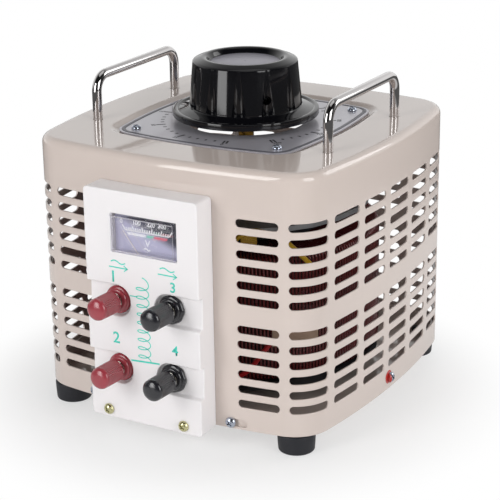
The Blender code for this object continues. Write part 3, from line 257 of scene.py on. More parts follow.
# Stoved beige enamel on drawn steel: sprayed, so a faint orange peel under a high gloss.
ENAMEL = Finish("stoved_beige_enamel", "D7CAC2", "D2C5BE", 0.1, coat=0.35, coat_roughness=0.03,
                patch=60.0 * MM, uneven=0.02, relief=0.012 * MM, relief_size=3.5 * MM)
# Bright chromium on bent steel rod: a mirror, very slightly uneven.
CHROME = Finish("bright_chromium_plate", "D6D3D2", "CCC9C9", 0.06, 1.0, patch=9.0 * MM, uneven=0.02)
# Zinc plate on pressed screws: bluish, slightly cloudy metal.
ZINC = Finish("blue_zinc_plate", "C9CFDA", "AEB6C6", 0.22, 1.0, patch=1.2 * MM, uneven=0.08)
# Yellow chromate on zinc: straw yellow that drifts to green and rose.
YELLOW_ZINC = Finish("yellow_chromate_zinc", "E8DFB4", "BFC18E", 0.26, 1.0, patch=0.9 * MM, uneven=0.08)
# Anodised aluminium sheet under clear lacquer: an even satin.
DIAL_SHEET = Finish("anodised_aluminium_sheet", "BDBBC3", "B9B7BF", 0.34, 0.35, coat=0.35,
                    coat_roughness=0.08, patch=40.0 * MM, uneven=0.01)
# Black phenolic moulding: polished tool, so a deep gloss with faint flow marks.
BAKELITE = Finish("black_phenolic_moulding", "0B0B0E", "0F0F13", 0.08, patch=14.0 * MM, uneven=0.02)
# Disc let into the knob's top: satin anodised sheet.
KNOB_DISC = Finish("satin_grey_disc", "ACAAB4", "A8A6AF", 0.42, 0.35, patch=20.0 * MM, uneven=0.01)
# Ground steel of the shaft and the brush spring: streaked along its length.
STEEL = Finish("ground_steel", "A9ABAE", "92949A", 0.28, 1.0, patch=1.0 * MM, stretch=(1.0, 1.0, 0.1))
# Turned brass: fine lathe rings.
BRASS = Finish("turned_brass", "C09A48", "A88336", 0.28, 1.0, patch=0.8 * MM, stretch=(0.2, 0.2, 1.0))
# Sintered bearing bronze: matt, speckled.
BRONZE = Finish("bearing_bronze", "94703F", "7C5C33", 0.45, 1.0, patch=0.7 * MM)
# Sand-cast and turned aluminium: satin, with a fine grain.
ALUMINIUM = Finish("cast_aluminium", "B6B7BA", "9D9FA3", 0.42, 1.0, patch=2.0 * MM,
                   relief=0.03 * MM, relief_size=0.8 * MM)
# Core of wound silicon steel, wrapped in dark varnished tape.
CORE_WRAP = Finish("varnished_tape", "171213", "0E0B0C", 0.55, patch=6.0 * MM, relief=0.1 * MM,
                   relief_size=2.0 * MM)
# Enamelled copper wire: dark red varnish over copper.
WIRE = Finish("enamelled_copper_wire", "78302F", "501F24", 0.24, 0.25, coat=0.5, coat_roughness=0.12,
              patch=5.0 * MM, uneven=0.06)
# Hard black fibre board: pressed, matt.
FIBRE = Finish("black_fibre_board", "1B1B1F", "131316", 0.6, patch=3.0 * MM, relief=0.04 * MM,
               relief_size=0.5 * MM)
# Pressboard tag, unbleached.
PRESSBOARD = Finish("pressboard_tag", "B59A86", "A58A76", 0.7, patch=2.0 * MM, relief=0.05 * MM,
                    relief_size=0.4 * MM)
# Graphite brush: dark, faintly metallic.
GRAPHITE = Finish("graphite", "2A2A2E", "1F1F23", 0.5, 0.3, patch=0.8 * MM)
# Cool white ABS moulding: semi-gloss with a very fine texture.
ABS = Finish("white_abs_moulding", "F3F0F1", "F1EEEF", 0.3, ior=1.5, patch=30.0 * MM, uneven=0.008,
             relief=0.003 * MM, relief_size=0.8 * MM)
# Pale styrene tub of the meter, seen at the edge of the window.
STYRENE = Finish("pale_styrene_moulding", "CFC8C9", "C9C2C4", 0.35, patch=5.0 * MM)
# Printed meter face: satin paint on tin plate, violet grey, with painted shade that darkens it to near black at
# the top right.
METER_FACE_WITH_PAINTED_SHADE = PaintedShadeFinish("meter_face_painted_shade", "BCB9D4", "2C2A3B", 0.4, uneven=0.05,
                          slope=(19.1, 0.0, 47.2), fade=(6.02, 6.36))
# Clear styrene front: moulded, polished.
CLEAR = Finish("clear_styrene", "F4F5F8", "F0F2F6", 0.03, ior=1.45, transmission=1.0, alpha=0.22,
               patch=20.0 * MM, uneven=0.01)
# Painted highlight along the edge of the clear front, where its walls meet the pane.
CLEAR_EDGE_HIGHLIGHT = Finish("styrene_edge_highlight", "E6E2E8", "DEDAE2", 0.25, alpha=0.6, patch=3.0 * MM)
# White, green, red, teal and black printing inks: thin, satin.
WHITE_INK = Finish("white_ink", "FFFFFF", "FAFAFE", 0.45, patch=1.0 * MM)
GREEN_INK = Finish("green_ink", "7FD6BA", "74CCB0", 0.45, patch=1.0 * MM)
RED_INK = Finish("red_ink", "F2667A", "EA5A6E", 0.45, patch=1.0 * MM)
TEAL_INK = Finish("teal_ink", "4FDCC8", "45D2BE", 0.45, patch=1.5 * MM)
BLACK_INK = Finish("black_ink", "1C1C20", "26262A", 0.4, patch=1.0 * MM)
GREY_INK = Finish("grey_ink", "605F68", "5A5962", 0.4, patch=1.0 * MM)
# Needle: thin aluminium strip in cream paint.
CREAM_PAINT = Finish("cream_needle_paint", "EDE6E2", "E4DCD8", 0.4, patch=2.0 * MM)
# Locking paint on a screw head: thick glossy red varnish.
LOCK_PAINT = Finish("red_locking_paint", "C02A22", "A8221C", 0.2, patch=1.0 * MM, coat=0.5)
# Nickel plate on turned brass: warm and bright.
NICKEL = Finish("nickel_plate", "CBC7BE", "B9B5AC", 0.18, 1.0, patch=0.8 * MM)
# Red and black phenolic terminal mouldings: polished domes.
RED_PHENOLIC = Finish("red_phenolic_moulding", "A23A45", "98343E", 0.22, coat=0.8, coat_roughness=0.24,
                      patch=4.0 * MM)
BLACK_PHENOLIC = Finish("black_terminal_moulding", "17171C", "1D1D24", 0.22, coat=0.8, coat_roughness=0.24,
                        patch=4.0 * MM)
# Moulded rubber foot: blue-black, matt.
RUBBER = Finish("moulded_rubber", "17181F", "1C1D24", 0.55, patch=2.5 * MM, relief=0.05 * MM,
                relief_size=0.7 * MM)
# PVC insulation of the leads: extruded, semi-gloss.
RED_PVC = Finish("red_pvc", "B3161C", "A01218", 0.35, patch=3.0 * MM)
YELLOW_PVC = Finish("yellow_pvc", "C9A012", "B88F0C", 0.35, patch=3.0 * MM)


class Bench:
    """Modelling with Blender's own operators."""

    @staticmethod
    def clear() -> None:
        """Leave edit mode and deselect everything."""
        if bpy.context.object and bpy.context.object.mode != "OBJECT":
            bpy.ops.object.mode_set(mode="OBJECT")
        bpy.ops.object.select_all(action="DESELECT")

    @staticmethod
    def focus(obj: Piece) -> None:
        """Make one object the only selected and the active one.

        Args:
            obj: The object.
        """
        Bench.clear()
        obj.select_set(True)
        bpy.context.view_layer.objects.active = obj

    @staticmethod
    def take(name: str) -> Piece:
        """Name the primitive that was just added.

        Args:
            name: Its new name, and that of its mesh.

        Returns:
            The primitive.
        """
        obj = bpy.context.object
        obj.name = obj.data.name = name
        return obj

    @staticmethod
    def pick(obj: Piece, kind: Pick, test: Callable[[Any], bool] = lambda item: True) -> None:
        """Go into edit mode and select by place or normal.

        Args:
            obj: Object to edit.
            kind: What is selected.
            test: True for each element to select, which is all where none is given.
        """
        if bpy.context.object is not obj or obj.mode != "EDIT":
            Bench.focus(obj)
            bpy.ops.object.mode_set(mode="EDIT")
        bpy.ops.mesh.select_mode(type=kind.value)
        bpy.ops.mesh.select_all(action="DESELECT")
        shape = bmesh.from_edit_mesh(obj.data)
        items = {Pick.VERTS: shape.verts, Pick.EDGES: shape.edges, Pick.FACES: shape.faces}[kind]
        for item in items:
            if test(item):
                item.select_set(True)
        bmesh.update_edit_mesh(obj.data)

    @staticmethod
    def extrude(offset: Point) -> None:
        """Extrude what is selected and move it."""
        bpy.ops.mesh.extrude_region_move(TRANSFORM_OT_translate={"value": tuple(offset)})

    @staticmethod
    def modify(obj: Piece, kind: str, **settings: Any) -> None:
        """Add a modifier with its settings and apply it.

        Args:
            obj: The object.
            kind: Blender's name of the modifier.
            settings: Properties of the modifier by name.
        """
        Bench.focus(obj)
        modifier = obj.modifiers.new(kind.lower(), kind)
        for key, value in settings.items():
            setattr(modifier, key, value)
        bpy.ops.object.modifier_apply(modifier=modifier.name)

    @staticmethod
    def drop(*objects: Piece) -> None:
        """Delete models, paths and cutters that have served."""
        for obj in objects:
            bpy.data.objects.remove(obj, do_unlink=True)

    @staticmethod
    def cut(obj: Piece, *cutters: Piece) -> None:
        """Take cutters out of an object and delete them.

        Args:
            obj: The object.
            cutters: Closed shapes, which are deleted.
        """
        for cutter in cutters:
            Bench.modify(obj, "BOOLEAN", operation="DIFFERENCE", solver="EXACT", object=cutter)
            Bench.drop(cutter)

    @staticmethod
    def tidy(obj: Piece, gap: float = 0.002 * MM) -> None:
        """Merge doubles and turn the faces outwards.

        Args:
            obj: The object.
            gap: Distance under which vertices are one.
        """
        Bench.pick(obj, Pick.VERTS)
        bpy.ops.mesh.remove_doubles(threshold=gap)
        bpy.ops.mesh.select_all(action="SELECT")
        bpy.ops.mesh.normals_make_consistent(inside=False)
        Bench.clear()

    @staticmethod
    def smooth(obj: Piece, angle: float = 40.0) -> None:
        """Shade smooth up to an angle in degrees."""
        Bench.focus(obj)
        bpy.ops.object.shade_smooth_by_angle(angle=math.radians(angle))

    @staticmethod
    def bevel(obj: Piece, width: float, segments: int = 2, angle: float = 35.0) -> None:
        """Round the edges that turn by more than an angle in degrees."""
        Bench.modify(obj, "BEVEL", width=width, segments=segments, limit_method="ANGLE",
                     angle_limit=math.radians(angle), miter_outer="MITER_ARC", use_clamp_overlap=True)

    @staticmethod
    def round_edges(obj: Piece, test: Callable[[Any], bool], width: float, segments: int) -> None:
        """Round the edges that a test names.

        Args:
            obj: The object.
            test: True for each edge to round.
            width: Width of the rounding.
            segments: Faces across the rounding.
        """
        Bench.pick(obj, Pick.EDGES, test)
        bpy.ops.mesh.bevel(offset=width, segments=segments, affect="EDGES")
        Bench.clear()

    @staticmethod
    def weld(obj: Piece) -> None:
        """Close the seam of a sheet that was wrapped round a plan.

        Args:
            obj: The wrapped sheet.
        """
        Bench.pick(obj, Pick.VERTS)
        bpy.ops.mesh.remove_doubles(threshold=TOUCH)
        Bench.clear()

    @staticmethod
    def thicken(obj: Piece, outer: Callable[[Any], bool], thickness: float, edge: float) -> None:
        """Give a sheet its thickness, inwards, and break its edges.

        Args:
            obj: The sheet.
            outer: True for faces that can only be met on the outside.
            thickness: Thickness of the sheet.
            edge: Width of the broken edges.
        """
        Bench.pick(obj, Pick.FACES, outer)
        if not any(face.select for face in bmesh.from_edit_mesh(obj.data).faces):
            bpy.ops.mesh.select_all(action="SELECT")
            bpy.ops.mesh.flip_normals()
        Bench.modify(obj, "SOLIDIFY", thickness=thickness, offset=-1.0, use_even_offset=True)
        Bench.bevel(obj, edge, 2, 50.0)

    @staticmethod
    def outline(name: str, points: Sequence[Point], closed: bool = False) -> Piece:
        """Draw a chain of edges, vertex by vertex.

        Args:
            name: Name of the object.
            points: Places of the vertices.
            closed: True to fill the chain with a face.

        Returns:
            The object, in object mode.
        """
        Bench.clear()
        bpy.ops.mesh.primitive_plane_add(size=MM, location=ORIGIN)
        obj = Bench.take(name)
        bpy.ops.object.mode_set(mode="EDIT")
        bpy.ops.mesh.select_mode(type="VERT")
        bpy.ops.mesh.select_all(action="SELECT")
        bpy.ops.mesh.merge(type="CENTER")
        bpy.ops.transform.translate(value=tuple(points[0]))
        for start, end in zip(points, points[1:]):
            step = Vector(end) - Vector(start)
            bpy.ops.mesh.extrude_vertices_move(TRANSFORM_OT_translate={"value": tuple(step)})
        if closed:
            bpy.ops.mesh.select_all(action="SELECT")
            bpy.ops.mesh.edge_face_add()
        Bench.clear()
        return obj

    @staticmethod
    def lathe(name: str, profile: Sequence[tuple[float, float]], steps: int, ring: bool = False) -> Piece:
        """Spin a half-section around Z.

        Args:
            name: Name of the object.
            profile: Points as radius and height.
            steps: Steps in the full turn.
            ring: True where the half-section is closed.

        Returns:
            The turned object.
        """
        points = [(radius, 0.0, height) for radius, height in profile]
        obj = Bench.outline(name, points + points[:1] if ring else points)
        Bench.pick(obj, Pick.EDGES)
        bpy.ops.mesh.spin(steps=steps, angle=2.0 * math.pi, center=ORIGIN, axis=UPWARDS)
        Bench.tidy(obj)
        return obj

    @staticmethod
    def settle(obj: Piece, place: Point, turn: Point = ORIGIN) -> Piece:
        """Move a piece to its place and keep that place in its mesh.

        Args:
            obj: The object.
            place: Where its own origin comes to stand.
            turn: Euler turn that is made first.

        Returns:
            The same object, at the origin and unturned.
        """
        Bench.focus(obj)
        obj.location = place
        obj.rotation_euler = turn
        bpy.ops.object.transform_apply()
        return obj

    @staticmethod
    def set_down(obj: Piece, angle: float, even: bool = True) -> None:
        """Shade a finished piece and settle it on the object's axis.

        Args:
            obj: The piece, modelled about its own axis.
            angle: Largest angle in degrees that is shaded smooth.
            even: True to keep large faces flat beside small rounded edges.
        """
        Bench.smooth(obj, angle)
        if even:
            Bench.modify(obj, "WEIGHTED_NORMAL", keep_sharp=True, weight=80)
        Bench.settle(obj, AXIS)

    @staticmethod
    def join(name: str, objects: Sequence[Piece]) -> Piece:
        """Join objects into one.

        Args:
            name: Name of the whole.
            objects: What is joined. The first becomes the whole.

        Returns:
            The joined object.
        """
        Bench.focus(objects[0])
        for obj in objects:
            obj.select_set(True)
        if len(objects) > 1:
            bpy.ops.object.join()
        return Bench.take(name)

    @staticmethod
    def copy(obj: Piece, name: str) -> Piece:
        """Copy an object with a mesh of its own.

        Args:
            obj: The model.
            name: Name of the copy.

        Returns:
            The copy.
        """
        Bench.focus(obj)
        bpy.ops.object.duplicate(linked=False)
        return Bench.take(name)

    @staticmethod
    def block(name: str, low: Point, high: Point) -> Piece:
        """Box between two corners, as a start or a cutter.

        Args:
            name: Name of the box.
            low: Its low corner.
            high: Its high corner.

        Returns:
            The box.
        """
        Bench.clear()
        low, high = Vector(low), Vector(high)
        bpy.ops.mesh.primitive_cube_add(size=1.0, location=(low + high) / 2.0)
        obj = Bench.take(name)
        obj.scale = high - low
        bpy.ops.object.transform_apply()
        return obj

    @staticmethod
    def drill(start: Point, end: Point, radius: float, sides: int = 32) -> Piece:
        """Round cutter between two points.

        Args:
            start: Middle of one end.
            end: Middle of the other end.
            radius: Radius of the hole.
            sides: Sides of its section.

        Returns:
            The cutter.
        """
        start, end = Vector(start), Vector(end)
        Bench.clear()
        turn = Vector(UPWARDS).rotation_difference(end - start).to_euler()
        bpy.ops.mesh.primitive_cylinder_add(vertices=sides, radius=radius, depth=(end - start).length,
                                            location=(start + end) / 2.0, rotation=turn)
        obj = Bench.take("drill")
        bpy.ops.object.transform_apply()
        return obj

    @staticmethod
    def tube(name: str, path: Sequence[Point], radius: float, shares: Sequence[float] = (), rounds: int = 3,
             smooth: bool = False) -> Piece:
        """Round rod along points, as a mesh.

        Args:
            name: Name of the object.
            path: Points of the middle line.
            radius: Radius of the rod.
            shares: Share of the radius at each point, 1 where none are given.
            rounds: Blender's bevel resolution of the section.
            smooth: True for a smooth curve through the points.

        Returns:
            The mesh.
        """
        Bench.clear()
        bpy.ops.curve.primitive_nurbs_path_add(location=ORIGIN)
        obj = Bench.take(name)
        obj.data.splines.remove(obj.data.splines[0])
        spline = obj.data.splines.new("BEZIER" if smooth else "POLY")
        points = spline.bezier_points if smooth else spline.points
        points.add(len(path) - 1)
        for i, (point, place) in enumerate(zip(points, path)):
            point.co = place if smooth else (*place, 1.0)
            point.radius = shares[i] if shares else 1.0
            if smooth:
                point.handle_left_type = point.handle_right_type = "AUTO"
        obj.data.dimensions = "3D"
        obj.data.bevel_depth = radius
        obj.data.bevel_resolution = rounds
        obj.data.use_fill_caps = smooth
        obj.data.resolution_u = 8
        Bench.focus(obj)
        bpy.ops.object.convert(target="MESH")
        return Bench.take(name)

    @staticmethod
    def ribbon(name: str, path: Sequence[Point], width: float, thickness: float = 0.03 * MM,
               closed: bool = False) -> Piece:
        """Flat mark of a printed line in the XY plane.

        Args:
            name: Name of the object.
            path: Points of the line's middle.
            width: Width of the line.
            thickness: Thickness of the ink, upwards, or 0 for a single layer.
            closed: True where the line returns to its start.

        Returns:
            The mark as a closed solid.
        """
        points = [Vector((p[0], p[1], 0.0)) for p in path]
        count = len(points)
        sides: list[tuple[Vector, Vector]] = []
        for i, point in enumerate(points):
            before = points[i - 1] if i or closed else point
            after = points[(i + 1) % count] if i + 1 < count or closed else point
            along = (after - before).normalized()
            out = Vector((-along.y, along.x, 0.0)) * (width / 2.0)
            sides.append((point + out, point - out))
        shape = bmesh.new()
        rows = [(shape.verts.new(a), shape.verts.new(b)) for a, b in sides]
        for (a, b), (c, d) in zip(rows, rows[1:] + rows[:1] if closed else rows[1:]):
            shape.faces.new((b, d, c, a))
        if thickness:
            lifted = bmesh.ops.extrude_face_region(shape, geom=shape.faces[:])["geom"]
            top = [item for item in lifted if isinstance(item, bmesh.types.BMVert)]
            bmesh.ops.translate(shape, vec=(0.0, 0.0, thickness), verts=top)
            bmesh.ops.recalc_face_normals(shape, faces=shape.faces[:])
        mesh = bpy.data.meshes.new(name)
        shape.to_mesh(mesh)
        shape.free()
        obj = bpy.data.objects.new(name, mesh)
        bpy.context.scene.collection.objects.link(obj)
        return obj

    @staticmethod
    def word(name: str, text: str, size: float, place: Point, turn: float = 0.0,
             thickness: float = 0.03 * MM, weight: float = 0.0) -> Piece:
        """Printed figures in the XY plane, as a closed mesh.

        Args:
            name: Name of the object.
            text: Figures to print.
            size: Height of a line of text.
            place: Middle of the text.
            turn: Turn in the plane.
            thickness: Thickness of the ink.
            weight: How far the strokes are fattened.

        Returns:
            The mesh.
        """
        Bench.clear()
        bpy.ops.object.text_add(location=place, rotation=(0.0, 0.0, turn))
        obj = bpy.context.object
        obj.name = name
        obj.data.body = text
        obj.data.size = size
        obj.data.align_x, obj.data.align_y = "CENTER", "CENTER"
        obj.data.extrude = thickness
        obj.data.offset = weight
        obj.data.resolution_u = 4
        bpy.ops.object.convert(target="MESH")
        bpy.ops.object.transform_apply()
        return Bench.take(name)


def dress(obj: Piece, finish: Finish, nodes: Iterable[str] = (), body: str = Body.CASE.value) -> Piece:
    """Give a piece its finish and its body.

    Args:
        obj: The piece.
        finish: Its only finish.
        nodes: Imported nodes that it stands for.
        body: Name of the body that it moves with.

    Returns:
        The piece.
    """
    obj.data.materials.clear()
    obj.data.materials.append(finish.make())
    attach(obj, body)
    for node in nodes:
        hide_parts(node)
    LOG.info("piece %s: %d faces", obj.name, len(obj.data.polygons))
    return obj


@dataclass(frozen=True)
class Plan:
    """A square plan with bowed sides and round corners, about the origin."""

    half: float
    bow: float
    corner: float

    @property
    def turn(self) -> float:
        """Angle that half a side turns through.

        Returns:
            The angle in radians.
        """
        sink = self.bow - self.half
        centre = (math.sqrt(2.0 * (self.bow - self.corner) ** 2 - sink ** 2) - sink) / 2.0
        return math.atan2(centre, centre + sink)

    @property
    def length(self) -> float:
        """Length all the way round."""
        return 4.0 * (2.0 * self.bow * self.turn + self.corner * (math.pi / 2.0 - 2.0 * self.turn))

    def inset(self, depth: float) -> Plan:
        """The same plan moved inwards."""
        return Plan(self.half - depth, self.bow - depth, self.corner - depth)

    def place(self, run: float) -> tuple[Vector, float]:
        """Point and outward heading at a run along the front side from its middle.

        Args:
            run: Way along the front side, to the right.

        Returns:
            The point, and its heading from the front.
        """
        heading = run / self.bow
        sink = self.bow - self.half
        return Vector((self.bow * math.sin(heading), sink - self.bow * math.cos(heading), 0.0)), heading

    def curve(self, name: str, height: float = 0.0) -> Piece:
        """Closed curve along the plan, from the front middle to the right.

        Args:
            name: Name of the object.
            height: Level of the curve.

        Returns:
            The curve object.
        """
        Bench.clear()
        bpy.ops.curve.primitive_bezier_circle_add(radius=self.half, location=ORIGIN)
        obj = Bench.take(name)
        sink = self.bow - self.half
        corner_at = (self.bow - self.corner) * math.sin(self.turn)
        knots: list[tuple[Vector, float]] = []
        for heading in (0.0, self.turn, math.pi / 2.0 - self.turn):
            out = Vector((math.sin(heading), -math.cos(heading), 0.0))
            start = Vector((0.0, sink, 0.0)) + out * self.bow
            if heading > self.turn:
                start = Vector((corner_at, -corner_at, 0.0)) + out * self.corner
            knots.append((start, heading))
        side = 4.0 / 3.0 * math.tan(self.turn / 4.0) * self.bow
        bend = 4.0 / 3.0 * math.tan((math.pi / 2.0 - 2.0 * self.turn) / 4.0) * self.corner
        spline = obj.data.splines[0]
        obj.data.splines.remove(spline)
        spline = obj.data.splines.new("BEZIER")
        spline.bezier_points.add(11)
        reaches = ((side, side), (side, bend), (bend, side))
        for i, point in enumerate(spline.bezier_points, start=1):  # a closed path runs from its last point
            quarter = Matrix.Rotation(math.pi / 2.0 * (i // 3), 3, "Z")
            spot, heading = knots[i % 3]
            along = ray(heading)
            before, after = reaches[i % 3]
            point.handle_left_type = point.handle_right_type = "FREE"
            point.co = quarter @ spot + up(height)
            point.handle_left = quarter @ (spot - along * before) + up(height)
            point.handle_right = quarter @ (spot + along * after) + up(height)
        spline.use_cyclic_u = True
        spline.resolution_u = 40
        obj.data.resolution_u = 40
        obj.data.dimensions = "3D"
        obj.data.twist_mode = "Z_UP"
        return obj

    def loop(self, name: str, height: float, steps: int = 10) -> Piece:
        """Closed chain of edges along the plan.

        Args:
            name: Name of the object.
            height: Level of the chain.
            steps: Edges to a stretch of the curve.

        Returns:
            The chain as a mesh.
        """
        obj = self.curve(name, height)
        obj.data.resolution_u = steps
        obj.data.splines[0].resolution_u = steps
        Bench.focus(obj)
        bpy.ops.object.convert(target="MESH")
        return Bench.take(name)

    def wrap(self, sheet: Piece) -> None:
        """Bend a flat sheet, drawn along X with +Y inwards, round the plan.

        Args:
            sheet: The sheet, which is bent in place.
        """
        path = self.curve("wrap_path")
        Bench.modify(sheet, "CURVE", object=path, deform_axis="POS_X")
        Bench.drop(path)

    def strip(self, name: str, rows: Sequence[tuple[float, float]], steps: int) -> Piece:
        """Band round the plan through rows given as inset and height.

        Args:
            name: Name of the object.
            rows: Inset and height of each row.
            steps: Faces all the way round.

        Returns:
            The band as an open sheet.
        """
        obj = Bench.outline(name, [(0.0, inset, height) for inset, height in rows])
        Bench.modify(obj, "SCREW", angle=0.0, screw_offset=self.length, axis="X", steps=steps,
                     render_steps=steps)
        self.wrap(obj)
        Bench.weld(obj)
        return obj

    def slab(self, name: str, bottom: float, top: float, steps: int = 10) -> Piece:
        """Solid plate of the plan's shape between two levels.

        Args:
            name: Name of the object.
            bottom: Lower level.
            top: Upper level.
            steps: Edges to a stretch of the curve.

        Returns:
            The plate.
        """
        obj = self.loop(name, bottom, steps)
        Bench.pick(obj, Pick.EDGES)
        bpy.ops.mesh.edge_face_add()
        bpy.ops.mesh.select_mode(type="FACE")
        bpy.ops.mesh.select_all(action="SELECT")
        Bench.extrude((0.0, 0.0, top - bottom))
        Bench.tidy(obj)
        return obj


CASE_PLAN = Plan(103.0 * MM, 515.0 * MM, 24.0 * MM)


@dataclass
class Cover:
    """Drawn steel cover, punched with rows of slots, and the tray that it closes."""

    bottom: float = 12.3 * MM
    top: float = 173.1 * MM
    sheet: float = 1.2 * MM
    edge: float = 5.0 * MM
    columns: int = 20
    rows: int = 12
    first_column: float = 63.4 * MM
    lowest_row: float = 29.3 * MM
    row_pitch: float = 9.391 * MM
    group_gap: float = 8.8 * MM
    slot_length: float = 26.4 * MM
    slot_height: float = 5.0 * MM
    window: float = 32.0 * MM
    window_above: float = 20.0 * MM
    window_below: float = 34.0 * MM
    top_ledge: float = 14.0 * MM
    seat: Plan = Plan(64.7 * MM, 321.0 * MM, 14.3 * MM)
    seat_slope: float = 6.0 * MM
    seat_ledge: float = 3.0 * MM
    seat_rows: int = 8
    seat_steps: int = 160
    seat_level: float = 170.8 * MM
    hole: float = 39.3 * MM
    handle_reach: float = 80.8 * MM
    handle_half: float = 45.0 * MM
    handle_hole: float = 3.15 * MM
    rod: float = 3.0 * MM
    rod_bend: float = 10.0 * MM
    rod_level: float = 200.5 * MM
    rod_tail: float = 8.0 * MM
    tray_sheet: float = 1.5 * MM
    tray_flange: float = 12.5 * MM
    tray_gap: float = 0.3 * MM
    foot_spread: tuple[float, float] = (80.6 * MM, 84.6 * MM)
    drill_reach: float = 4.0 * MM
    screw_slot_radius: float = 2.5 * MM
    screw_slot_length: float = 8.2 * MM

    @property
    def column_pitch(self) -> float:
        """Way from one column of slots to the next."""
        return (CASE_PLAN.length / 2.0 - self.first_column) / (self.columns / 2.0 - 0.5)

    def slot_cell(self) -> Piece:
        """One slot in its piece of flat sheet, in the XZ plane, centred on the first column.

        Returns:
            The cell, at the lowest row.
        """
        radius = self.slot_height / 2.0
        sides = 16
        half_step = math.pi / sides
        Bench.clear()
        bpy.ops.mesh.primitive_circle_add(vertices=sides, radius=radius / math.cos(half_step),
                                          fill_type="NOTHING", rotation=(math.pi / 2.0, half_step, 0.0))
        cell = Bench.take("cover_sheet")
        bpy.ops.object.transform_apply()
        straight = self.slot_length / 2.0 - radius
        for sign in (-1.0, 1.0):
            Bench.pick(cell, Pick.VERTS, lambda v: v.co.x * sign > 0.0 and abs(v.co.x) < radius * 1.1)
            bpy.ops.transform.translate(value=(sign * straight, 0.0, 0.0))
        Bench.pick(cell, Pick.EDGES)
        Bench.extrude((0.0, -MM, 0.0))
        for sign in (-1.0, 1.0):
            level = (0.0, 0.0, sign * self.row_pitch / 2.0)
            Bench.pick(cell, Pick.VERTS, lambda v: v.co.y < -MM / 2.0 and v.co.z * sign > 0.0)
            bpy.ops.transform.resize(value=(1.0, 1.0, 0.0), center_override=level)
            edge = (sign * self.column_pitch / 2.0, 0.0, 0.0)
            far = self.slot_length / 2.0 - 0.1 * radius
            Bench.pick(cell, Pick.VERTS, lambda v: v.co.y < -MM / 2.0 and v.co.x * sign > far)
            bpy.ops.transform.resize(value=(0.0, 1.0, 1.0), center_override=edge)
        bpy.ops.mesh.select_all(action="SELECT")
        bpy.ops.transform.resize(value=(1.0, 0.0, 1.0), center_override=ORIGIN)
        cuts = [straight * i / 5.0 for i in range(-4, 5)]
        cuts += [sign * (self.slot_length / 2.0 + 1.5 * MM * k) for sign in (-1.0, 1.0) for k in (1, 2)]
        for x in cuts:
            Bench.pick(cell, Pick.FACES)
            bpy.ops.mesh.bisect(plane_co=(x, 0.0, 0.0), plane_no=(1.0, 0.0, 0.0))
        Bench.settle(cell, (self.first_column, 0.0, self.lowest_row))
        return cell

    def wall(self) -> Piece:
        """Slotted wall with its rounded top edge, wrapped round the plan.

        Returns:
            The wall as a sheet without thickness.
        """
        sheet = self.slot_cell()
        group = self.rows // 2
        step = {"use_relative_offset": False, "use_constant_offset": True, "use_merge_vertices": True,
                "merge_threshold": TOUCH}
        Bench.modify(sheet, "ARRAY", count=group, constant_offset_displace=(0.0, 0.0, self.row_pitch), **step)
        low = self.lowest_row - self.row_pitch / 2.0
        high = low + self.row_pitch * group

        def level(edge: Any, height: float) -> bool:
            """True for a rim edge at a height."""
            return edge.is_boundary and all(abs(v.co.z - height) < NEAR for v in edge.verts)

        def upright(edge: Any, x: float) -> bool:
            """True for a rim edge at the end of the sheet."""
            return edge.is_boundary and all(abs(v.co.x - x) < NEAR for v in edge.verts)

        Bench.pick(sheet, Pick.EDGES, lambda e: level(e, high))
        Bench.extrude((0.0, 0.0, self.group_gap))
        shift = self.row_pitch * group + self.group_gap
        Bench.modify(sheet, "ARRAY", count=2, constant_offset_displace=(0.0, 0.0, shift), **step)
        Bench.pick(sheet, Pick.EDGES, lambda e: level(e, low))
        Bench.extrude((0.0, 0.0, self.bottom - low))
        Bench.pick(sheet, Pick.EDGES, lambda e: level(e, low + 2.0 * shift))
        Bench.extrude((0.0, 0.0, self.top - self.edge - low - 2.0 * shift))
        turns = [math.radians(15.0 * i) for i in range(7)]
        for start, end in zip(turns, turns[1:]):
            Bench.extrude((0.0, self.edge * (math.cos(start) - math.cos(end)),
                           self.edge * (math.sin(end) - math.sin(start))))
        Bench.extrude((0.0, self.top_ledge, 0.0))
        pitch = self.column_pitch
        Bench.modify(sheet, "ARRAY", count=self.columns, constant_offset_displace=(pitch, 0.0, 0.0), **step)
        start = self.first_column - pitch / 2.0
        for x, sign in ((start, -1.0), (CASE_PLAN.length - start, 1.0)):
            Bench.pick(sheet, Pick.EDGES, lambda e: upright(e, x))
            for width in (start - self.window, self.window / 2.0, self.window / 2.0):
                Bench.extrude((sign * width, 0.0, 0.0))
        window = (self.bottom + self.window_above, self.top - self.window_below)

        def behind_panel(face: Any) -> bool:
            """True for sheet between the panel's screws and its top, where the wires pass.

            Args:
                face: A face of the flat sheet.

            Returns:
                Whether it goes.
            """
            middle = face.calc_center_median()
            aside = min(middle.x, CASE_PLAN.length - middle.x)
            return aside < self.window and window[0] < middle.z < window[1]

        Bench.pick(sheet, Pick.FACES, behind_panel)
        bpy.ops.mesh.delete(type="FACE")
        CASE_PLAN.wrap(sheet)
        Bench.weld(sheet)
        return sheet

    def build_cover(self) -> None:
        """Cover with its sunk seat, as a sheet with rounded edges."""
        wall = self.wall()
        depth = self.top - self.seat_level
        outer = Plan(self.seat.half + self.seat_slope, self.seat.bow, self.seat.corner + self.seat_slope)
        rows = []
        for i in range(self.seat_rows + 1):
            share = i / self.seat_rows
            rows.append((self.seat_slope * share, self.top - depth * (1.0 - math.cos(math.pi * share)) / 2.0))
        rows.append((self.seat_slope + self.seat_ledge, self.seat_level))
        seat = outer.strip("seat", rows, self.seat_steps)
        Bench.clear()
        bpy.ops.mesh.primitive_circle_add(vertices=96, radius=self.hole, location=(0.0, 0.0, self.seat_level),
                                          fill_type="NOTHING")
        rim = Bench.take("seat_hole")
        bpy.ops.object.transform_apply()
        cover = Bench.join("slotted_cover", [wall, seat, rim])
        reach = self.seat.half * 3.6

        def top_rim(edge: Any) -> bool:
            """True for the rims of the flat top."""
            return edge.is_boundary and all(v.co.z > self.top - NEAR for v in edge.verts)

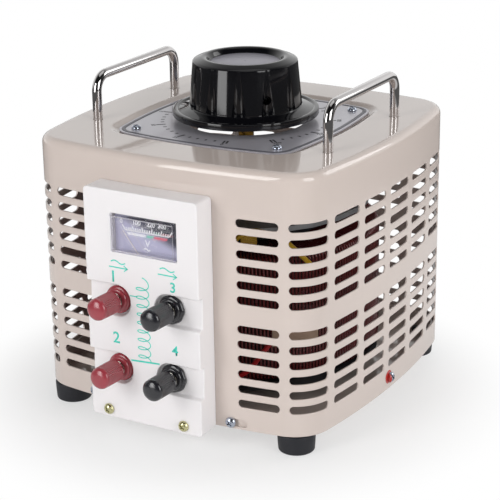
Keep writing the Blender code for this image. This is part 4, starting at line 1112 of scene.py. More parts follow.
        def floor_rim(edge: Any) -> bool:
            """True for the rims of the seat's floor."""
            flat = all(abs(v.co.z - self.seat_level) < NEAR for v in edge.verts)
            return flat and (edge.is_boundary or edge.is_wire) and edge.verts[0].co.length < reach

        for test in (top_rim, floor_rim):
            Bench.pick(cover, Pick.EDGES, test)
            bpy.ops.mesh.bridge_edge_loops()
        Bench.tidy(cover, TOUCH)

        def upper(face: Any) -> bool:
            """True for the flat top seen from above."""
            return face.normal.z > 0.9 and face.calc_center_median().z > self.top - TOUCH

        Bench.thicken(cover, upper, self.sheet, 0.3 * MM)
        low, high = self.top - self.drill_reach, self.top + self.drill_reach
        cutters = [Bench.drill((x, y, low), (x, y, high), self.handle_hole)
                   for x in (-self.handle_reach, self.handle_reach)
                   for y in (-self.handle_half, self.handle_half)]
        cutters += [self.screw_slot(run) for run in Screws().front_runs]
        Bench.cut(cover, *cutters)
        Bench.set_down(cover, 50.0)
        dress(cover, ENAMEL, ["cover"])

    def screw_slot(self, run: float) -> Piece:
        """Cutter for the long hole that lets a front screw be slid in.

        Args:
            run: Way of the screw along the front wall.

        Returns:
            The cutter.
        """
        spot, heading = CASE_PLAN.place(run)
        Bench.clear()
        bpy.ops.mesh.primitive_cylinder_add(vertices=24, radius=self.screw_slot_radius,
                                            depth=10.0 * self.sheet, rotation=FACING_FRONT)
        slot = Bench.take("screw_slot")
        bpy.ops.object.transform_apply()
        Bench.pick(slot, Pick.VERTS, lambda v: v.co.x > TOUCH)
        bpy.ops.transform.translate(value=(self.screw_slot_length, 0.0, 0.0))
        Bench.clear()
        return Bench.settle(slot, (spot.x, spot.y, Screws().front_level), (0.0, 0.0, heading))

    def build_tray(self) -> None:
        """Folded tray inside the foot of the cover."""
        plan = CASE_PLAN.inset(self.sheet + self.tray_gap)
        tray = plan.loop("folded_tray", self.bottom, 12)
        Bench.pick(tray, Pick.EDGES)
        bpy.ops.mesh.edge_face_add()
        Bench.pick(tray, Pick.EDGES)
        Bench.extrude((0.0, 0.0, self.tray_flange))
        Bench.tidy(tray)
        Bench.thicken(tray, lambda f: f.normal.z < -0.9, self.tray_sheet, 0.4 * MM)
        Bench.set_down(tray, 50.0)
        dress(tray, ENAMEL, ["base_tray"])

    def build_feet(self) -> None:
        """Tapered rubber feet with a rounded lower edge and a sunk screw hole."""
        profile = [(0.0, 18.0), (2.5, 18.0), (2.5, 12.0), (11.6, 12.0), (11.3, 5.5), (10.9, 0.0),
                   (4.6, 0.0), (4.3, 4.0), (0.0, 4.0)]
        first = Bench.lathe("rubber_foot", in_mm(profile), 48)
        Bench.bevel(first, 1.1 * MM, 4, 50.0)
        Bench.smooth(first, 45.0)
        aside, ahead = self.foot_spread
        for fore, y in (("front", -ahead), ("rear", ahead)):
            for side, x in (("left", -aside), ("right", aside)):
                node = f"foot_{fore}_{side}"
                foot = Bench.copy(first, "rubber_" + node)
                Bench.settle(foot, AXIS + Vector((x, y, 0.0)))
                dress(foot, RUBBER, [node])
        Bench.drop(first)

    def build_handles(self) -> None:
        """Carrying handles of bent rod."""
        bend, bar = self.rod_bend, self.rod_level
        half, tail = self.handle_half, self.top - self.rod_tail
        Bench.clear()
        bpy.ops.mesh.primitive_circle_add(vertices=32, radius=self.rod, location=(0.0, -half, tail),
                                          fill_type="NGON")
        rod = Bench.take("bent_rod")
        bpy.ops.object.transform_apply()
        Bench.pick(rod, Pick.FACES)
        Bench.extrude((0.0, 0.0, bar - bend - tail))
        quarter = {"steps": 12, "axis": (1.0, 0.0, 0.0), "angle": math.pi / 2.0}
        bpy.ops.mesh.spin(center=(0.0, -half + bend, bar - bend), **quarter)
        Bench.extrude((0.0, 2.0 * (half - bend), 0.0))
        bpy.ops.mesh.spin(center=(0.0, half - bend, bar - bend), **quarter)
        Bench.extrude((0.0, 0.0, tail - bar + bend))
        Bench.tidy(rod)
        Bench.bevel(rod, 0.4 * MM, 2, 60.0)
        Bench.smooth(rod, 40.0)
        for node, x in (("handle_left", -self.handle_reach), ("handle_right", self.handle_reach)):
            handle = Bench.copy(rod, "bent_" + node)
            Bench.settle(handle, AXIS + Vector((x, 0.0, 0.0)))
            dress(handle, CHROME, [node])
        Bench.drop(rod)

    def build(self) -> None:
        """Everything that makes the case."""
        self.build_cover()
        self.build_tray()
        self.build_feet()
        self.build_handles()


@dataclass(frozen=True)
class Head:
    """Pan head of a screw. Its recess is in shares of its radius and rise, and the blade is a half width."""

    radius: float
    rise: float
    drive: Drive
    blade: float = 0.42 * MM
    arm: float = 0.56
    floor: float = 0.35
    slot_reach: float = 1.2
    slot_floor: float = 0.62

    def dome(self, grow: float) -> list[tuple[float, float]]:
        """Half-section from the top to the rim, grown by a length."""
        shares = [(0.0, 1.0), (0.3, 0.985), (0.55, 0.9), (0.77, 0.72), (0.92, 0.46), (1.0, 0.18), (0.98, 0.0)]
        return [((self.radius + grow) * r if r else 0.0, self.rise * z + grow) for r, z in shares]


DIAL_HEAD = Head(3.0 * MM, 2.0 * MM, Drive.CROSS)
CASE_HEAD = Head(3.4 * MM, 2.4 * MM, Drive.CROSS)
PANEL_HEAD = Head(3.4 * MM, 2.4 * MM, Drive.COMBINED)


@dataclass(frozen=True)
class ScrewPlace:
    """Where a screw stands, how it is turned and what it looks like."""

    node: str
    spot: Vector
    turn: tuple[float, float, float]
    spin: float
    head: Head
    finish: Finish


@dataclass
class Screws:
    """Pan-head screws of the case, the dial and the panel."""

    seat: float = 0.3 * MM
    shank: float = 1.5 * MM
    tail: float = 5.0 * MM
    dial_spacing: float = 49.4 * MM
    dial_level: float = 172.1 * MM
    front_runs: tuple[float, float] = (-52.6 * MM, 45.4 * MM)
    front_level: float = 16.2 * MM
    side_ahead: float = 3.2 * MM
    side_level: float = 19.3 * MM
    dial_spins: tuple[float, ...] = (25.0, 62.0, 8.0, 40.0)  # degrees, as the next three
    front_spins: tuple[float, float] = (15.0, 35.0)
    side_spins: tuple[float, float] = (70.0, 50.0)
    panel_spins: tuple[float, float] = (35.0, 55.0)
    paint: float = 0.12 * MM
    paint_edge: float = -2.0 * MM

    def model(self, head: Head) -> Piece:
        """One screw on its own axis.

        Args:
            head: Size and recess of its head.

        Returns:
            The screw, with the underside of its head at the origin.
        """
        stem = [(self.shank, 0.0), (self.shank, -self.tail), (0.0, -self.tail)]
        screw = Bench.lathe("screw", head.dome(0.0) + stem, 40)
        arm, half = head.radius * head.arm, head.blade
        floor, above = head.rise * head.floor, head.rise * 1.5
        cutters = [Bench.block("recess", (-arm, -half, floor), (arm, half, above)),
                   Bench.block("recess", (-half, -arm, floor), (half, arm, above))]
        if head.drive is Drive.COMBINED:
            long, low = head.radius * head.slot_reach, head.rise * head.slot_floor
            cutters.append(Bench.block("recess", (-long, -half, low), (long, half, above)))
        Bench.cut(screw, *cutters)
        Bench.smooth(screw, 35.0)
        return screw

    def wall_place(self, run: float, level: float,
                   quarter: float) -> tuple[Vector, tuple[float, float, float]]:
        """Place and turn of a screw in a wall of the case.

        Args:
            run: Way along the front wall from its middle.
            level: Height.
            quarter: Turn from the front wall to the wall in question.

        Returns:
            The spot under the head and the turn that points the screw outwards.
        """
        spot, heading = CASE_PLAN.place(run)
        spot = spot + Vector((math.sin(heading), -math.cos(heading), 0.0)) * self.seat
        spot = Matrix.Rotation(quarter, 3, "Z") @ spot
        return Vector((spot.x, spot.y, level)), (math.pi / 2.0, 0.0, heading + quarter)

    def places(self) -> list[ScrewPlace]:
        """Every screw.

        Returns:
            One row for each screw.
        """
        rows: list[ScrewPlace] = []
        spins = iter(self.dial_spins)
        for fore, y in (("front", -1.0), ("rear", 1.0)):
            for side, x in (("left", -1.0), ("right", 1.0)):
                spot = Vector((x * self.dial_spacing, y * self.dial_spacing, self.dial_level + self.seat))
                node = f"dial_screw_{fore}_{side}"
                rows.append(ScrewPlace(node, spot, ORIGIN, next(spins), DIAL_HEAD, ZINC))
        for side, run, spin in zip(("left", "right"), self.front_runs, self.front_spins):
            spot, turn = self.wall_place(run, self.front_level, 0.0)
            rows.append(ScrewPlace(f"case_screw_front_{side}", spot, turn, spin, CASE_HEAD, ZINC))
        for side, sign, spin in zip(("left", "right"), (-1.0, 1.0), self.side_spins):
            spot, turn = self.wall_place(-sign * self.side_ahead, self.side_level, sign * math.pi / 2.0)
            rows.append(ScrewPlace(f"case_screw_side_{side}", spot, turn, spin, CASE_HEAD, ZINC))
        panel = Panel()
        for side, x, spin in zip(("left", "right"), panel.screws, self.panel_spins):
            spot = Vector((x, -panel.front - self.seat, panel.screw_level))
            node = f"panel_screw_{side}"
            rows.append(ScrewPlace(node, spot, FACING_FRONT, spin, PANEL_HEAD, YELLOW_ZINC))
        return rows

    def build_paint(self) -> None:
        """Locking paint brushed over one half of the right side screw and onto the wall."""
        far = 2.0 * CASE_HEAD.radius
        coat = Bench.lathe("painted_head", CASE_HEAD.dome(self.paint) + [(0.0, 0.0)], 32)
        Bench.cut(coat, Bench.block("bare_half", (self.paint_edge, -far, -far), (far, far, far)))
        profile = [(0.0, -0.1), (3.6, -0.14), (4.2, -0.22), (4.4, -0.29), (0.0, -0.29)]
        smear = Bench.lathe("smear", in_mm(profile), 32)
        Bench.settle(smear, (-1.9 * MM, 0.9 * MM, 0.0))
        paint = Bench.join("locking_paint", [coat, smear])
        Bench.smooth(paint, 40.0)
        spot, turn = self.wall_place(-self.side_ahead, self.side_level, math.pi / 2.0)
        Bench.settle(paint, AXIS + spot, turn)
        dress(paint, LOCK_PAINT)

    def build(self) -> None:
        """All screws, and the locking paint on one of them."""
        models = {head: self.model(head) for head in (DIAL_HEAD, CASE_HEAD, PANEL_HEAD)}
        for place in self.places():
            screw = Bench.copy(models[place.head], "domed_" + place.node)
            Bench.settle(screw, ORIGIN, (0.0, 0.0, math.radians(place.spin)))
            Bench.settle(screw, AXIS + place.spot, place.turn)
            dress(screw, place.finish, [place.node])
        Bench.drop(*models.values())
        self.build_paint()


@dataclass
class Dial:
    """Dial plate in the sunk seat, with its printed scale."""

    plan: Plan = Plan(64.4 * MM, 321.0 * MM, 14.0 * MM)
    top: float = 172.1 * MM
    sheet: float = 1.0 * MM
    hole: float = 37.3 * MM
    screw_hole: float = 1.8 * MM
    drill_reach: float = 4.0 * MM
    divisions: int = 50
    per_number: int = 5
    step: float = 25.0
    zero: float = math.radians(-74.4)
    pitch: float = math.radians(360.0 / 55.0)
    border: tuple[float, float] = (1.4 * MM, 4.0 * MM)
    border_steps: int = 160
    short_mark: tuple[float, float, float] = (51.0 * MM, 53.3 * MM, 1.4 * MM)
    long_mark: tuple[float, float] = (50.6 * MM, 56.5 * MM)
    long_width: float = 1.6 * MM
    end_width: float = 1.2 * MM
    end_gap: float = 2.2  # degrees between the twin marks
    number_radius: float = 58.4 * MM
    number_size: float = 3.7 * MM
    number_weight: float = 0.1 * MM
    ink: float = 0.04 * MM

    def build_plate(self) -> None:
        """Punched plate with its edges broken."""
        plate = self.plan.slab("dial_sheet", self.top - self.sheet, self.top, 16)
        low, high = self.top - self.drill_reach, self.top + self.drill_reach
        at = Screws().dial_spacing
        cutters = [Bench.drill(up(low), up(high), self.hole, 128)]
        cutters += [Bench.drill((x, y, low), (x, y, high), self.screw_hole, 20)
                    for x in (-at, at) for y in (-at, at)]
        Bench.cut(plate, *cutters)
        Bench.bevel(plate, 0.18 * MM, 2, 50.0)
        Bench.set_down(plate, 40.0)
        dress(plate, DIAL_SHEET, ["dial_plate"])

    def tick(self, angle: float, start: float, end: float, width: float) -> Piece:
        """One radial line of the scale."""
        return Bench.ribbon("tick", [ray(angle) * start, ray(angle) * end], width, self.ink)

    def build_print(self) -> None:
        """Border band, divisions and numbers."""
        near, far = self.border
        rows = [(near, self.top), (near, self.top + self.ink), (far, self.top + self.ink), (far, self.top),
                (near, self.top)]
        band = self.plan.strip("dial_border", rows, self.border_steps)
        Bench.tidy(band)
        Bench.settle(band, AXIS)
        dress(band, GREY_INK)
        marks: list[Piece] = []
        for i in range(self.divisions + 1):
            angle = self.zero - self.pitch * i
            if i % self.per_number:
                marks.append(self.tick(angle, *self.short_mark))
                continue
            ends = i in (0, self.divisions)
            marks.append(self.tick(angle, *self.long_mark, self.end_width if ends else self.long_width))
            if ends:
                twin = angle + math.radians(self.end_gap if i == 0 else -self.end_gap)
                marks.append(self.tick(twin, *self.long_mark, self.end_width))
            number = f"{self.step * i / self.per_number:.0f}"
            marks.append(Bench.word("number", number, self.number_size, ray(angle) * self.number_radius,
                                    angle + math.pi / 2.0, self.ink / 2.0, self.number_weight))
        scale = Bench.join("dial_scale", marks)
        Bench.settle(scale, AXIS + up(self.top))
        dress(scale, BLACK_INK)

    def build(self) -> None:
        """Plate and print."""
        self.build_plate()
        self.build_print()


@dataclass
class Knob:
    """Fluted knob with a dished skirt and a sunk top."""

    bottom: float = 177.4 * MM
    top: float = 212.7 * MM
    sunk: float = 3.4 * MM
    flutes: int = 12
    flute_foot: tuple[float, float, float] = (37.7 * MM, 0.0, 183.0 * MM)
    flute_head: tuple[float, float, float] = (33.75 * MM, 0.0, 210.9 * MM)
    flute_radii: tuple[float, float] = (5.4 * MM, 1.3 * MM)
    set_screw_hole: float = 2.8 * MM
    set_screw_reach: float = 60.0 * MM
    set_screw_angle: float = math.radians(-37.0)
    set_screw_level: float = 191.4 * MM

    def body(self) -> Piece:
        """Turned form of the knob, without flutes.

        Returns:
            The knob on its own axis.
        """
        low, high, sunk = self.bottom / MM, self.top / MM, self.sunk / MM
        sunk_top = [(0.0, high - sunk), (21.9, high - sunk), (22.4, high - 3.2), (22.7, high - 2.8)]
        rim = [(23.8, high - 0.9), (24.3, high - 0.45), (25.2, high - 0.08), (26.4, high), (27.4, high - 0.15),
               (31.0, high - 1.55), (32.0, high - 2.05), (32.5, high - 2.6), (32.65, high - 3.4)]
        skirt = [(35.0, low + 6.3), (35.05, low + 5.2), (35.6, low + 4.6), (38.6, low + 3.7),
                 (41.8, low + 2.75), (42.3, low + 2.8), (42.7, low + 3.2), (43.3, low + 3.4),
                 (44.8, low + 3.35), (45.5, low + 2.95)]
        edge = [(45.7, low + 2.3), (45.7, low - 0.3), (45.4, low - 0.85), (44.9, low - 1.0), (41.5, low - 1.0)]
        bore = [(40.8, low + 0.8), (10.5, low + 0.8), (9.8, low), (3.8, low), (3.8, low + 18.0),
                (0.0, low + 18.0)]
        profile = sunk_top + rim + skirt + edge + bore
        return Bench.lathe("fluted_knob", in_mm(profile), 180)

    def flute_cutter(self) -> Piece:
        """Leaning cones that widen downwards.

        Returns:
            The cones as one cutter.
        """
        foot, head = Vector(self.flute_foot), Vector(self.flute_head)
        wide, narrow = self.flute_radii
        along = head - foot
        turn = Vector(UPWARDS).rotation_difference(along).to_euler()
        Bench.clear()
        bpy.ops.mesh.primitive_cone_add(vertices=40, radius1=wide, radius2=narrow, depth=along.length,
                                        location=(foot + head) / 2.0, rotation=turn)
        first = Bench.take("flute")
        bpy.ops.object.transform_apply()
        cones = []
        for i in range(self.flutes):
            angle = self.set_screw_angle + 2.0 * math.pi * i / self.flutes
            cones.append(Bench.settle(Bench.copy(first, "flute_copy"), ORIGIN, (0.0, 0.0, angle)))
        Bench.drop(first)
        return Bench.join("flutes", cones)

    def build(self) -> None:
        """Knob with its flutes, the hole for the screw in its side and the plate in its top."""
        knob = self.body()
        Bench.cut(knob, self.flute_cutter())
        side = ray(self.set_screw_angle)
        level = up(self.set_screw_level)
        Bench.cut(knob, Bench.drill(level, level + side * self.set_screw_reach, self.set_screw_hole))
        Bench.bevel(knob, 0.22 * MM, 2, 30.0)
        Bench.set_down(knob, 32.0)
        dress(knob, BAKELITE, ["knob"], Body.ROTOR.value)
        high = (self.top - self.sunk) / MM
        disc = [(0.0, high + 0.02), (0.45, high + 0.05), (0.7, high + 0.25), (21.3, high + 0.25),
                (21.6, high + 0.1), (21.6, high), (0.0, high)]
        plate = Bench.lathe("knob_insert", in_mm(disc), 96)
        Bench.set_down(plate, 30.0, even=False)
        dress(plate, KNOB_DISC, body=Body.ROTOR.value)


@dataclass
class Panel:
    """Moulded terminal panel with a pocket round each post, and its print."""

    left: float = -42.6 * MM
    right: float = 35.4 * MM
    front: float = 118.0 * MM
    back: float = 95.8 * MM
    bottom: float = 10.5 * MM
    top: float = 155.5 * MM
    shell: float = 2.4 * MM
    ledges: tuple[float, float] = (53.6 * MM, 97.0 * MM)
    run: float = 18.9 * MM
    ramp: float = 0.8 * MM
    lip: float = 3.375 * MM
    depth: float = 4.2 * MM
    pillar: tuple[float, float] = (-12.1 * MM, 4.9 * MM)
    screws: tuple[float, float] = (-30.1 * MM, 22.9 * MM)
    screw_level: float = 15.7 * MM
    screw_hole: float = 1.8 * MM
    post_hole: float = 4.3 * MM
    post_reach: float = 8.0 * MM
    pocket_corner: float = 9.0 * MM
    corner: float = 2.6 * MM
    edge: float = 0.8 * MM
    cover_gap: float = 0.3 * MM
    line: float = 0.62 * MM
    arrow_line: float = 0.75 * MM
    figure_weight: float = 0.15 * MM
    ink: float = 0.05 * MM
    window_low: Vector = field(default_factory=lambda: Vector((-23.8, -122.0, 117.7)) * MM)
    window_high: Vector = field(default_factory=lambda: Vector((21.4, -100.0, 141.7)) * MM)

    def slab(self, name: str, points: Sequence[tuple[float, float]], left: float, right: float) -> Piece:
        """A side view drawn out across a width.

        Args:
            name: Name of the object.
            points: Corners as depth in front of the axis and height.
            left: Where it starts.
            right: Where it ends.

        Returns:
            The solid.
        """
        obj = Bench.outline(name, [(left, -deep, high) for deep, high in points], closed=True)
        Bench.pick(obj, Pick.FACES)
        Bench.extrude((right - left, 0.0, 0.0))
        Bench.tidy(obj)
        return obj

    def pockets(self) -> list[Piece]:
        """Cutters for the four pockets, round at the inner end and open at the sides of the panel.

        Returns:
            The cutters.
        """
        found = []
        out = self.front + self.shell
        for ledge in self.ledges:
            low = ledge - self.run
            points = [(self.front - self.lip, low), (self.front, low - self.ramp), (out, low - self.ramp),
                      (out, ledge), (self.front - self.depth, ledge)]
            for edge, side in zip(self.pillar, (self.left - self.shell, self.right + self.shell)):
                pocket = self.slab("pocket", points, min(edge, side), max(edge, side))

                def inner(line: Any) -> bool:
                    """True for the edges from front to back at the inner end.

                    Args:
                        line: An edge of the pocket.

                    Returns:
                        Whether it is rounded.
                    """
                    a, b = (v.co for v in line.verts)
                    ends = max(abs(a.x - edge), abs(b.x - edge)) < TOUCH
                    return ends and abs(a.y - b.y) > 1.5 * MM

                Bench.round_edges(pocket, inner, self.pocket_corner, 12)
                found.append(pocket)
        return found

    def cavity(self) -> Piece:
        """Cutter for the hollow back, stepped behind the pockets.

        Returns:
            The cutter.
        """
        deep, shallow = self.front - self.shell, self.front - self.depth - self.shell
        points = [(self.back - self.shell, self.bottom + self.shell), (deep, self.bottom + self.shell)]
        for ledge in self.ledges:
            low, high = ledge - self.run - self.ramp - self.shell, ledge + self.shell
            points += [(deep, low), (shallow, low), (shallow, high), (deep, high)]
        points += [(deep, self.top - self.shell), (self.back - self.shell, self.top - self.shell)]
        return self.slab("panel_cavity", points, self.left + self.shell, self.right - self.shell)

    def build_shell(self) -> Piece:
        """Shell with rounded edges, fitted to the bowed cover, with its openings.

        Returns:
            The dressed panel.
        """
        block = [(self.back, self.bottom), (self.front, self.bottom), (self.front, self.top),
                 (self.back, self.top)]
        panel = self.slab("moulded_panel", block, self.left, self.right)

        def corner(edge: Any) -> bool:
            """True for the edges from front to back at the four corners."""
            a, b = (v.co for v in edge.verts)
            return abs(a.x - b.x) < TOUCH and abs(a.z - b.z) < TOUCH

        Bench.round_edges(panel, corner, self.corner, 5)
        Bench.cut(panel, *self.pockets())
        Bench.bevel(panel, self.edge, 4, 32.0)
        cover = CASE_PLAN.inset(-self.cover_gap).slab("cover_block", -5.0 * MM, 180.0 * MM, 16)
        cutters = [cover, self.cavity(), Bench.block("meter_window", self.window_low, self.window_high)]
        reach = Posts().outwards * self.post_reach
        for _, _, spot in Posts().places():
            cutters.append(Bench.drill(spot - AXIS - reach, spot - AXIS + reach, self.post_hole, 40))
        for x in self.screws:
            ends = [(x, y, self.screw_level) for y in (-self.front - 3.0 * MM, -100.0 * MM)]
            cutters.append(Bench.drill(*ends, self.screw_hole, 20))
        Bench.cut(panel, *cutters)
        Bench.set_down(panel, 35.0)
        return dress(panel, ABS, ["front_panel"])

    def coil(self) -> list[tuple[float, float]]:
        """Line of the coil sign, as x and height.

        Returns:
            Points in metres.
        """
        loops, steps, pitch, reach, swell = 9, 40, 5.34, 4.35, 2.0
        middle, top = -3.1, 100.1
        points = []
        for i in range(-steps // 4, loops * steps + 1):
            turn = 2.0 * math.pi * i / steps
            tall = swell * (1.6 if i < 0 else 1.0)
            points.append((middle + reach * math.cos(turn),
                           top - pitch * turn / (2.0 * math.pi) - tall * math.sin(turn)))
        return in_mm(points)

    def arrow(self, x: float, z: float) -> list[Piece]:
        """Arrow to the right with a wave over it, above the terminals.

        Args:
            x: Middle of the arrow.
            z: Level of the arrow.

        Returns:
            Its shaft, its head and the wave.
        """
        half, barb, spread = 6.5 * MM, 2.6 * MM, 1.7 * MM
        wave_half, wave_lift, swing, steps = 5.0 * MM, 3.4 * MM, 0.9 * MM, 12
        tip = x + half
        wave = [(x + (i / steps - 1.0) * wave_half, z + wave_lift + swing * math.sin(i / steps * math.pi))
                for i in range(2 * steps + 1)]
        shaft = [(x - half, z), (tip, z)]
        head = [(tip - barb, z + spread), (tip, z), (tip - barb, z - spread)]
        return [Bench.ribbon("arrow", path, self.arrow_line, 0.0) for path in (shaft, head, wave)]

    def build_print(self, panel: Piece) -> None:
        """Teal marks that follow the stepped front.

        Args:
            panel: The panel that takes the print.
        """
        bar = in_mm([(-12.8 + i, 50.9 + 0.065 * i) for i in range(21)])
        tap = in_mm([(-13.0 + i, 92.1) for i in range(7)])
        marks = [Bench.ribbon("coil", self.coil(), self.line, 0.0), Bench.ribbon("bar", bar, 1.05 * MM, 0.0),
                 Bench.ribbon("tap", tap, self.line, 0.0)]
        for spot in in_mm([(-19.5, 108.2), (14.5, 109.0)]):
            marks += self.arrow(*spot)
        figures = [("1", -23.4, 101.9, 10.0), ("2", -22.8, 63.2, 10.0), ("3", 18.0, 101.8, 8.6),
                   ("4", 18.3, 62.5, 8.6)]
        for text, x, z, size in figures:
            place = (x * MM, z * MM, 0.0)
            marks.append(Bench.word("figure", text, size * MM, place, 0.0, 0.0, self.figure_weight))
        ink = Bench.join("panel_print", marks)
        Bench.settle(ink, (AXIS.x, AXIS.y - self.front - 20.0 * MM, 0.0), FACING_FRONT)
        Bench.modify(ink, "SHRINKWRAP", target=panel, wrap_method="PROJECT", use_project_y=True,
                     use_positive_direction=True, use_negative_direction=False)
        Bench.modify(ink, "SOLIDIFY", thickness=self.ink, offset=1.0)
        dress(ink, TEAL_INK)

    def build(self) -> None:
        """Shell and print."""
        self.build_print(self.build_shell())


@dataclass
class Posts:
    """Four binding posts: moulded base, nickel stem and washer, knurled screw cap."""

    tilt: float = math.radians(2.5)
    columns: tuple[float, float] = (-22.0 * MM, 14.8 * MM)
    rows: tuple[float, float] = (43.7 * MM, 87.1 * MM)
    face: float = -95.428 * MM
    ridges: int = 32
    cap: float = 6.7 * MM
    groove: float = 0.92
    knurled: tuple[float, float] = (8.8 * MM, 22.95 * MM)
    round_sides: int = 56
    facets: int = 8

    @property
    def outwards(self) -> Vector:
        """Direction of a post's axis."""
        return Vector((0.0, -math.cos(self.tilt), math.sin(self.tilt)))

    def places(self) -> list[tuple[str, Finish, Vector]]:
        """Name, finish and place of each post.

        Returns:
            One row for each post.
        """
        found = []
        for row, z in zip(("lower", "upper"), self.rows):
            for (side, finish), x in zip((("left", RED_PHENOLIC), ("right", BLACK_PHENOLIC)), self.columns):
                found.append((f"{row}_{side}", finish, Vector((x, self.face, z))))
        return found

    def base(self, sides: int) -> Piece:
        """Flange and ring of the insulating base.

        Args:
            sides: Sides of the flange.

        Returns:
            The base on its own axis.
        """
        wide = 8.6 if sides > self.facets else 9.3
        flange = [(5.0, 2.75), (wide - 1.4, 2.75), (wide - 0.5, 2.35), (wide, 1.6), (wide, 0.6),
                  (wide - 0.3, 0.3), (4.0, 0.3), (4.0, -3.9), (2.8, -3.9), (2.8, 1.6), (5.0, 1.6)]
        ring = [(2.8, 4.1), (3.4, 4.4), (6.3, 4.4), (6.9, 4.1), (7.2, 3.5), (7.0, 2.9), (6.8, 2.45),
                (2.8, 2.45)]
        lower = Bench.lathe("flange", in_mm(flange), sides, ring=True)
        if sides == self.facets:
            Bench.round_edges(lower, self.meridian, 1.6 * MM, 5)
        upper = Bench.lathe("ring", in_mm(ring), self.round_sides, ring=True)
        for piece in (lower, upper):
            Bench.smooth(piece, 40.0)
        return Bench.join("post_base", [lower, upper])

    @staticmethod
    def meridian(edge: Any) -> bool:
        """True for the corner edges of a many-sided flange.

        Args:
            edge: An edge of the flange.

        Returns:
            Whether it is rounded.
        """
        a, b = (v.co for v in edge.verts)
        outside = min(math.hypot(a.x, a.y), math.hypot(b.x, b.y)) > 6.0 * MM
        return outside and abs(a.x * b.y - a.y * b.x) < 1e-9

    def knurled_cap(self) -> Piece:
        """Cap with straight knurls below a smooth domed end.

        Returns:
            The cap on its own axis.
        """
        dome = [(0.0, 26.4), (0.3, 26.3), (0.55, 26.02), (0.75, 25.58), (0.88, 25.0), (0.96, 24.3),
                (1.0, 23.4)]
        wall = [(1.0, 23.1), (1.0, 22.8), (1.0, 9.0), (1.0, 8.6), (0.95, 8.0), (0.86, 7.8)]
        bore = [(4.2, 7.8), (4.2, 20.2), (0.0, 20.2)]
        profile = [(r * self.cap, z * MM) for r, z in dome + wall] + in_mm(bore)
        cap = Bench.lathe("knurled_cap", profile, 2 * self.ridges)

        def groove(vert: Any) -> bool:
            """True for every second column of the knurled length.

            Args:
                vert: A vertex of the cap.

            Returns:
                Whether it is drawn in.
            """
            column = round(math.atan2(vert.co.y, vert.co.x) / math.pi * self.ridges)
            low, high = self.knurled
            outside = math.hypot(vert.co.x, vert.co.y) > self.cap * 0.88
            return low < vert.co.z < high and column % 2 == 1 and outside

        Bench.pick(cap, Pick.VERTS, groove)
        bpy.ops.transform.resize(value=(self.groove, self.groove, 1.0), center_override=ORIGIN)
        Bench.clear()
        Bench.smooth(cap, 24.0)
        return cap

    def build(self) -> None:
        """Four posts from one model of each piece."""
        bases = {RED_PHENOLIC: self.base(self.round_sides), BLACK_PHENOLIC: self.base(self.facets)}
        cap = self.knurled_cap()
        disc = [(2.6, 5.15), (4.4, 5.15), (4.7, 4.95), (4.7, 4.65), (4.5, 4.45), (2.6, 4.45)]
        ring = [(4.0, 7.75), (4.9, 7.75), (5.0, 7.5), (4.9, 7.0), (4.7, 6.8), (4.0, 6.8)]
        washer = Bench.lathe("washer", in_mm(disc), 48, ring=True)
        collar = Bench.lathe("collar", in_mm(ring), 48, ring=True)
        for model in (washer, collar):
            Bench.smooth(model, 35.0)
        turn = (math.pi / 2.0 - self.tilt, 0.0, 0.0)
        for name, finish, spot in self.places():
            rows = [(bases[finish], "moulded_base_", finish, Body.CASE.value, ["post_base_" + name]),
                    (washer, "post_washer_", NICKEL, Body.CASE.value, []),
                    (collar, "cap_collar_", NICKEL, "cap_" + name, []),
                    (cap, "knurled_cap_", finish, "cap_" + name, ["post_cap_" + name])]
            for model, label, look, body, nodes in rows:
                dress(Bench.settle(Bench.copy(model, label + name), spot, turn), look, nodes, body)
        Bench.drop(*bases.values(), cap, washer, collar)


